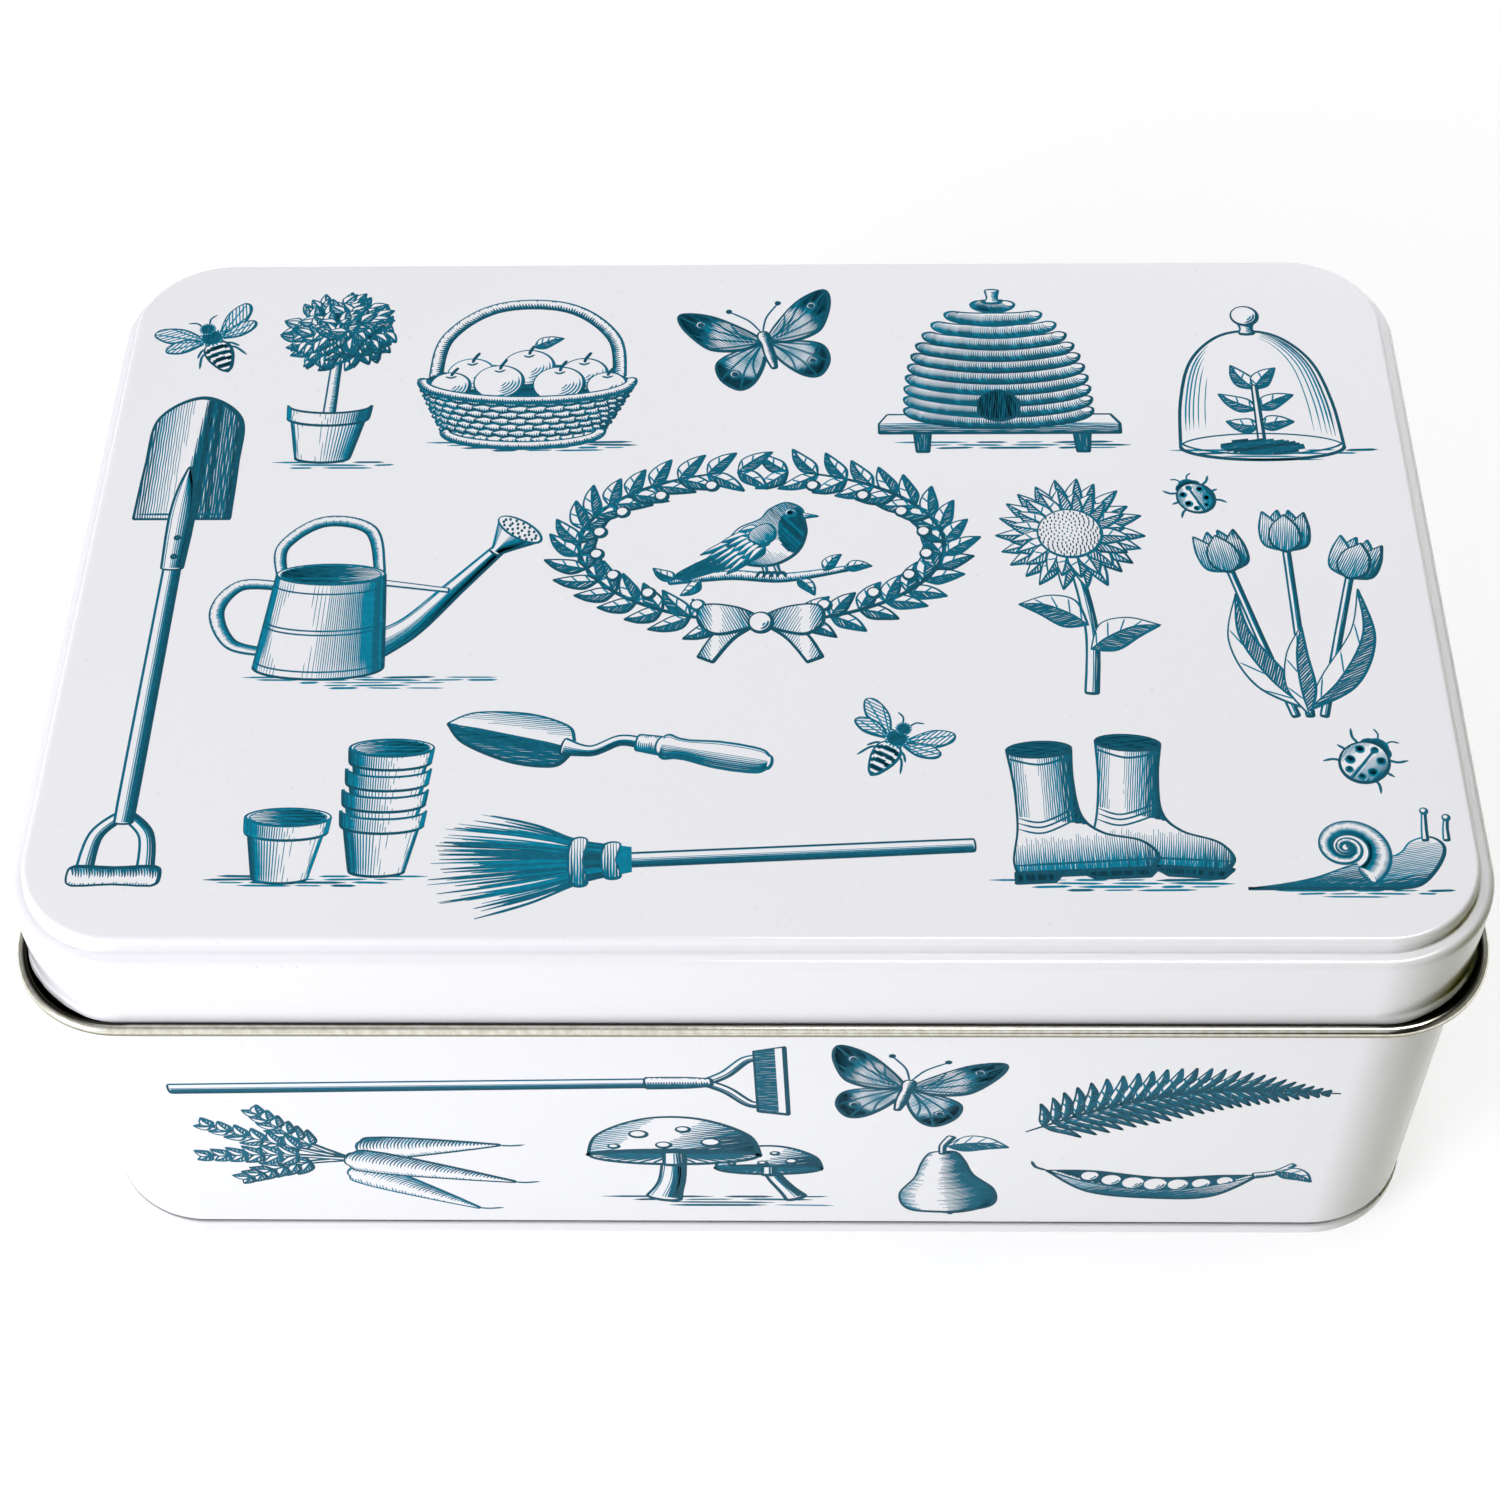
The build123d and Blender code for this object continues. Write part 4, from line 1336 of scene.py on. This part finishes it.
prints = {  # each drawing's name, the place of its middle, turn in degrees, size and flip
    "lid": [
        (wreath, 2, 4, 0, 0.98, 1),
        (robin, 2, 5, 0, 0.64, 1),
        (spade, -112, -14, 90, 0.98, 1),
        (topiary, -85, 52, 0, 0.86, 1),
        (bee, -112, 62, 25, 0.9, 1),
        (basket, -46, 53, 0, 0.82, 1),
        (butterfly, 2, 62, 14, 0.95, 1),
        (beehive, 50, 54, 0, 0.86, 1),
        (cloche, 103, 50, 0, 0.95, 1),
        (wateringCan, -72, -8, 0, 0.72, 1),
        (flowerPots, -76, -58, 0, 0.74, -1),
        (trowel, -26, -44, -14, 0.86, 1),
        (besom, -8, -68, 3, 0.84, -1),
        (sunflower, 62, -4, 0, 0.86, 1),
        (boots, 64, -58, 0, 0.8, 1),
        (tulips, 103, -11, 0, 0.86, 1),
        (ladybird, 86, 19, 24, 0.58, 1),
        (bee, 26, -43, -30, 0.8, 1),
        (snail, 106, -67, 0, 0.72, 1),
        (ladybird, 112, -46, -38, 0.7, 1),
    ],
    "front": [
        (carrots, -75, 28, 74, 0.96, 1),
        (hoe, -51, 57, 1.5, 0.98, 1),
        (mushrooms, -8, 28, 0, 1.3, 1),
        (butterfly, 29, 56, -12, 0.96, 1),
        (pear, 39, 23, 6, 0.92, 1),
        (fern, 80, 52, 8, 1.05, 1),
        (peaPod, 81, 22, -5, 0.94, 1),
    ],
    "back": [
        (tulips, -88, 39, 0, 0.98, 1),
        (wateringCan, -30, 38, 0, 0.84, 1),
        (boots, 38, 30, 0, 0.94, 1),
        (bee, 66, 60, 20, 0.9, 1),
        (topiary, 90, 38, 0, 1.02, 1),
    ],
    "left": [
        (sunflower, -48, 39, 0, 0.98, 1),
        (beehive, 6, 38, 0, 1.05, 1),
        (ladybird, 52, 56, 30, 0.9, 1),
        (pear, 52, 26, -6, 0.95, 1),
    ],
    "right": [
        (cloche, -40, 37, 0, 1.1, 1),
        (basket, 26, 38, 0, 1.05, 1),
    ],
}
inkFilm = {  # in mm
    "thickness": 0.036,
    "proud": 0.012,
    "levels": 50,
    "step": 0.00036,
    "tolerance": 0.018,
    "weights": [0.33, 0.52],  # the mean widths that part fine, middle and bold strokes
}


def thinOut(line, widths):  # the fewest points that keep a stroke's course and width
    course = np.column_stack([line, widths])
    kept, spans = {0, len(course) - 1}, [(0, len(course) - 1)]
    while spans:
        first, last = spans.pop()
        if last - first < 2:
            continue
        chord = course[last] - course[first]
        away = course[first + 1:last] - course[first]
        along = np.clip(away @ chord / (chord @ chord + 1e-12), 0, 1)
        miss = ((away - along[:, None] * chord) ** 2).sum(1)
        worst = int(miss.argmax())
        if miss[worst] > inkFilm["tolerance"] ** 2:
            kept.add(first + 1 + worst)
            spans += [(first, first + 1 + worst), (first + 1 + worst, last)]
    kept = sorted(kept)
    return line[kept], widths[kept]


def drawOnTin(entries, weight):
    strokes = []
    for motif, x, y, turn, size, flip in entries:
        hand.seed(engraving["seed"])
        plate, drawing = Plate(), Plate()
        motif(plate)
        points = np.concatenate([stroke[0] for stroke in plate.strokes])
        middle = (points.min(0) + points.max(0)) / 2
        x, y = place([-middle], x, y, turn, size, flip)[0]
        drawing.add(plate, x, y, turn, size, flip)
        strokes += [(line, widths * weight, level) for line, widths, level, box in drawing.strokes]
    return strokes


def inkStrokes(name, body, strokes, onto, extent):  # flat ribbons of ink, carried to the face that they print
    lines = bpy.data.curves.new(name, "CURVE")
    lines.dimensions = "3D"
    lines.twist_mode = "Z_UP"
    lines.extrude = 0.5 * mm
    lines.resolution_u = lines.render_resolution_u = 1
    for ink in inks:
        lines.materials.append(ink.material)
    for line, widths, level in strokes:
        line, widths = thinOut(line, widths)
        endless = len(line) > 4 and np.hypot(*(line[0] - line[-1])) < 0.02
        if endless:
            line, widths = line[:-1], widths[:-1]
        height = inkFilm["proud"] + level % inkFilm["levels"] * inkFilm["step"]
        spline = lines.splines.new("POLY")
        spline.points.add(len(line) - 1)
        spline.use_cyclic_u = bool(endless)
        spline.material_index = int(np.searchsorted(inkFilm["weights"], widths.mean()))
        spots = np.column_stack([line * mm, np.full(len(line), height * mm), np.ones(len(line))])
        spline.points.foreach_set("co", spots.ravel())
        spline.points.foreach_set("radius", widths)
        spline.points.foreach_set("tilt", np.full(len(line), math.pi / 2))
    drawn = bpy.data.objects.new(name + "Curve", lines)
    bpy.context.scene.collection.objects.link(drawn)
    ribbons = bpy.data.meshes.new_from_object(drawn.evaluated_get(bpy.context.evaluated_depsgraph_get()))
    bpy.data.objects.remove(drawn)
    corners = np.empty(len(ribbons.loops), np.int32)
    ribbons.loops.foreach_get("vertex_index", corners)
    spots = np.empty(len(ribbons.vertices) * 3, np.float32)
    ribbons.vertices.foreach_get("co", spots)
    flat = ribbons.uv_layers.new(name="OFBake")  # each stroke as it lies on the face, a map for baking its colour
    flat.data.foreach_set("uv", (spots.reshape(-1, 3)[corners, :2] / (np.array(extent) * mm) + 0.5).ravel())
    bm = bmesh.new()
    bm.from_mesh(ribbons)
    bpy.data.meshes.remove(ribbons)
    bmesh.ops.transform(bm, matrix=onto, verts=bm.verts[:])
    piece = addPiece(bm, name, body, inks)
    piece.data.shade_flat()
    film = piece.modifiers.new("inkFilm", "SOLIDIFY")
    film.thickness = inkFilm["thickness"] * mm
    film.offset = -1
    print(name, len(strokes), "strokes,", len(piece.data.polygons), "faces")


def printTin():
    strokes = drawOnTin(prints["lid"], engraving["lidWeight"])
    onLid = Matrix.Translation((0, 0, lid["panelHeight"] * mm))
    for name, side in (("lidPrintLeft", -1), ("lidPrintRight", 1)):
        part = [stroke for stroke in strokes if (stroke[0][:, 0].mean() > 0) == (side > 0)]
        inkStrokes(name, "lid", part, onLid, (tin["width"], tin["depth"]))
    halfDepth, halfWidth = tin["depth"] / 2 - wall["inset"], tin["width"] / 2 - wall["inset"]
    upright = Matrix.Rotation(math.pi / 2, 4, "X")
    for face, turn, away in (("front", 0, halfDepth), ("right", 90, halfWidth), ("back", 180, halfDepth),
                             ("left", -90, halfWidth)):
        onto = Matrix.Rotation(math.radians(turn), 4, "Z") @ Matrix.Translation((0, -away * mm, 0)) @ upright
        strokes = drawOnTin(prints[face], engraving["wallWeight"])
        inkStrokes(face + "Print", "tin", strokes, onto, (tin["width"], 2 * tin["height"]))


printTin()
print("print laid on")


# The floor, the lights and the camera

studio = {
    "floor": (0.56, 0.56, 0.56),
    "floorCloud": (0.55, 0.55, 0.55),
    "glow": 0.51,
    "air": (0.36, 0.36, 0.37),  # the even light from the front, the left and above
    "front": (0.985, 0.985, 1.01),  # and its brighter part, low in front
    "shade": (0.012, 0.012, 0.008),  # the dim side of the room, to the right
    "side": (0.25, 0.25, 0.24),  # and the far end of that side
    "shadeReach": (-0.15, 0.1),  # how far to the right it begins and is full, as the sine of the direction
    "shadeLean": 0.35,  # how much farther to the right for a higher direction
    "sideReach": (0.5, 0.9),
    "frontTop": (0.55, 1.1),
    "frontBack": (-0.4, 0.1),
}
lamps = {  # place and target in metres, size, watts and colour
    "keyLight": ((-0.80, -0.68, 0.39), (0, 0, 0.05), (0.5, 0.5), 8.15, (0.945, 0.95, 1.0)),
    "topLight": ((0.36, 0.1, 1.6), (0, 0.05, 0.05), (0.7, 0.8), 12.1, (1.0, 1.0, 0.985)),
}
lampsForTin = {
    "rightFlag": ((0.66, -0.26, 0.17), (0, 0, 0.05), (0.4, 0.3), -2.6, (0.88, 0.88, 1.0)),
    "endFill": ((0.40, 0.55, 0.25), (0, 0, 0.05), (0.4, 0.3), 2.2, (0.90, 0.90, 1.0)),
}
cameraAt = {
    "position": (10.84, -345.0, 491.21),
    "pitch": 52.288,  # degrees below the horizon
    "yaw": 2.026,
    "roll": -1.647,
    "lens": 64.895,
}


def addFloor():
    bm = bmesh.new()
    bmesh.ops.create_grid(bm, x_segments=1, y_segments=1, size=6.0)
    mesh = bpy.data.meshes.new("floor")
    bm.to_mesh(mesh)
    bm.free()
    finish = Finish("paleFloor", Roughness=0.9, Emission_Color=(1, 1, 1, 1), Emission_Strength=studio["glow"])
    finish.feed("Base Color", finish.blend(finish.noise(0.9, 2.0), studio["floor"], studio["floorCloud"]))
    mesh.materials.append(finish.material)
    floor = bpy.data.objects.new("floor", mesh)
    bpy.context.scene.collection.objects.link(floor)
    floor.location.z = -0.2 * mm


def addSoftbox(name, position, target, size, power, colour):
    light = bpy.data.lights.new(name, "AREA")
    light.shape = "RECTANGLE"
    light.size, light.size_y = size
    light.energy = power
    light.color = colour
    box = bpy.data.objects.new(name, light)
    bpy.context.scene.collection.objects.link(box)
    box.location = position
    box.rotation_euler = (Vector(target) - Vector(position)).to_track_quat("-Z", "Y").to_euler()
    return box


def lightTheTin():
    for name, lamp in lamps.items():
        addSoftbox(name, *lamp)
    for name, lamp in lampsForTin.items():  # for the tin alone; below no power it works as a black flag
        box = addSoftbox(name, *lamp)
        box.visible_glossy = False  # and the tin doesn't mirror it
        box.light_linking.receiver_collection = tinPieces


def lightTheAir():
    world = bpy.data.worlds.new("studioAir")
    world.use_nodes = True
    bpy.context.scene.world = world
    tree = world.node_tree
    way = addNode(tree, "ShaderNodeTexCoord").outputs["Generated"]
    axes = addNode(tree, "ShaderNodeSeparateXYZ", None, {0: Signal(tree, way)})
    right, back, up = (Signal(tree, socket) for socket in axes.outputs)
    shade = (right - up * studio["shadeLean"] - back.most(0)).step(*studio["shadeReach"])
    front = (1 - up.step(*studio["frontTop"])) * (1 - back.step(*studio["frontBack"]))
    lit = mixColours(tree, front, studio["air"], studio["front"])
    dim = mixColours(tree, right.step(*studio["sideReach"]), studio["shade"], studio["side"])
    colour = mixColours(tree, shade, lit, dim)
    tree.links.new(colour.socket, tree.nodes["Background"].inputs["Color"])


def addCamera():
    data = bpy.data.cameras.new("camera")
    data.lens = cameraAt["lens"]
    data.sensor_width = 36
    data.clip_start = 0.01
    camera = bpy.data.objects.new("camera", data)
    bpy.context.scene.collection.objects.link(camera)
    turn = Matrix.Rotation(math.radians(cameraAt["yaw"]), 4, "Z")
    tilt = Matrix.Rotation(math.radians(90 - cameraAt["pitch"]), 4, "X")
    roll = Matrix.Rotation(math.radians(cameraAt["roll"]), 4, "Z")
    camera.matrix_world = Matrix.Translation(Vector(cameraAt["position"]) * mm) @ turn @ tilt @ roll
    bpy.context.scene.camera = camera


addFloor()
lightTheTin()
lightTheAir()
bpy.context.scene.view_settings.view_transform = "Standard"
addCamera()

print("scene ready")
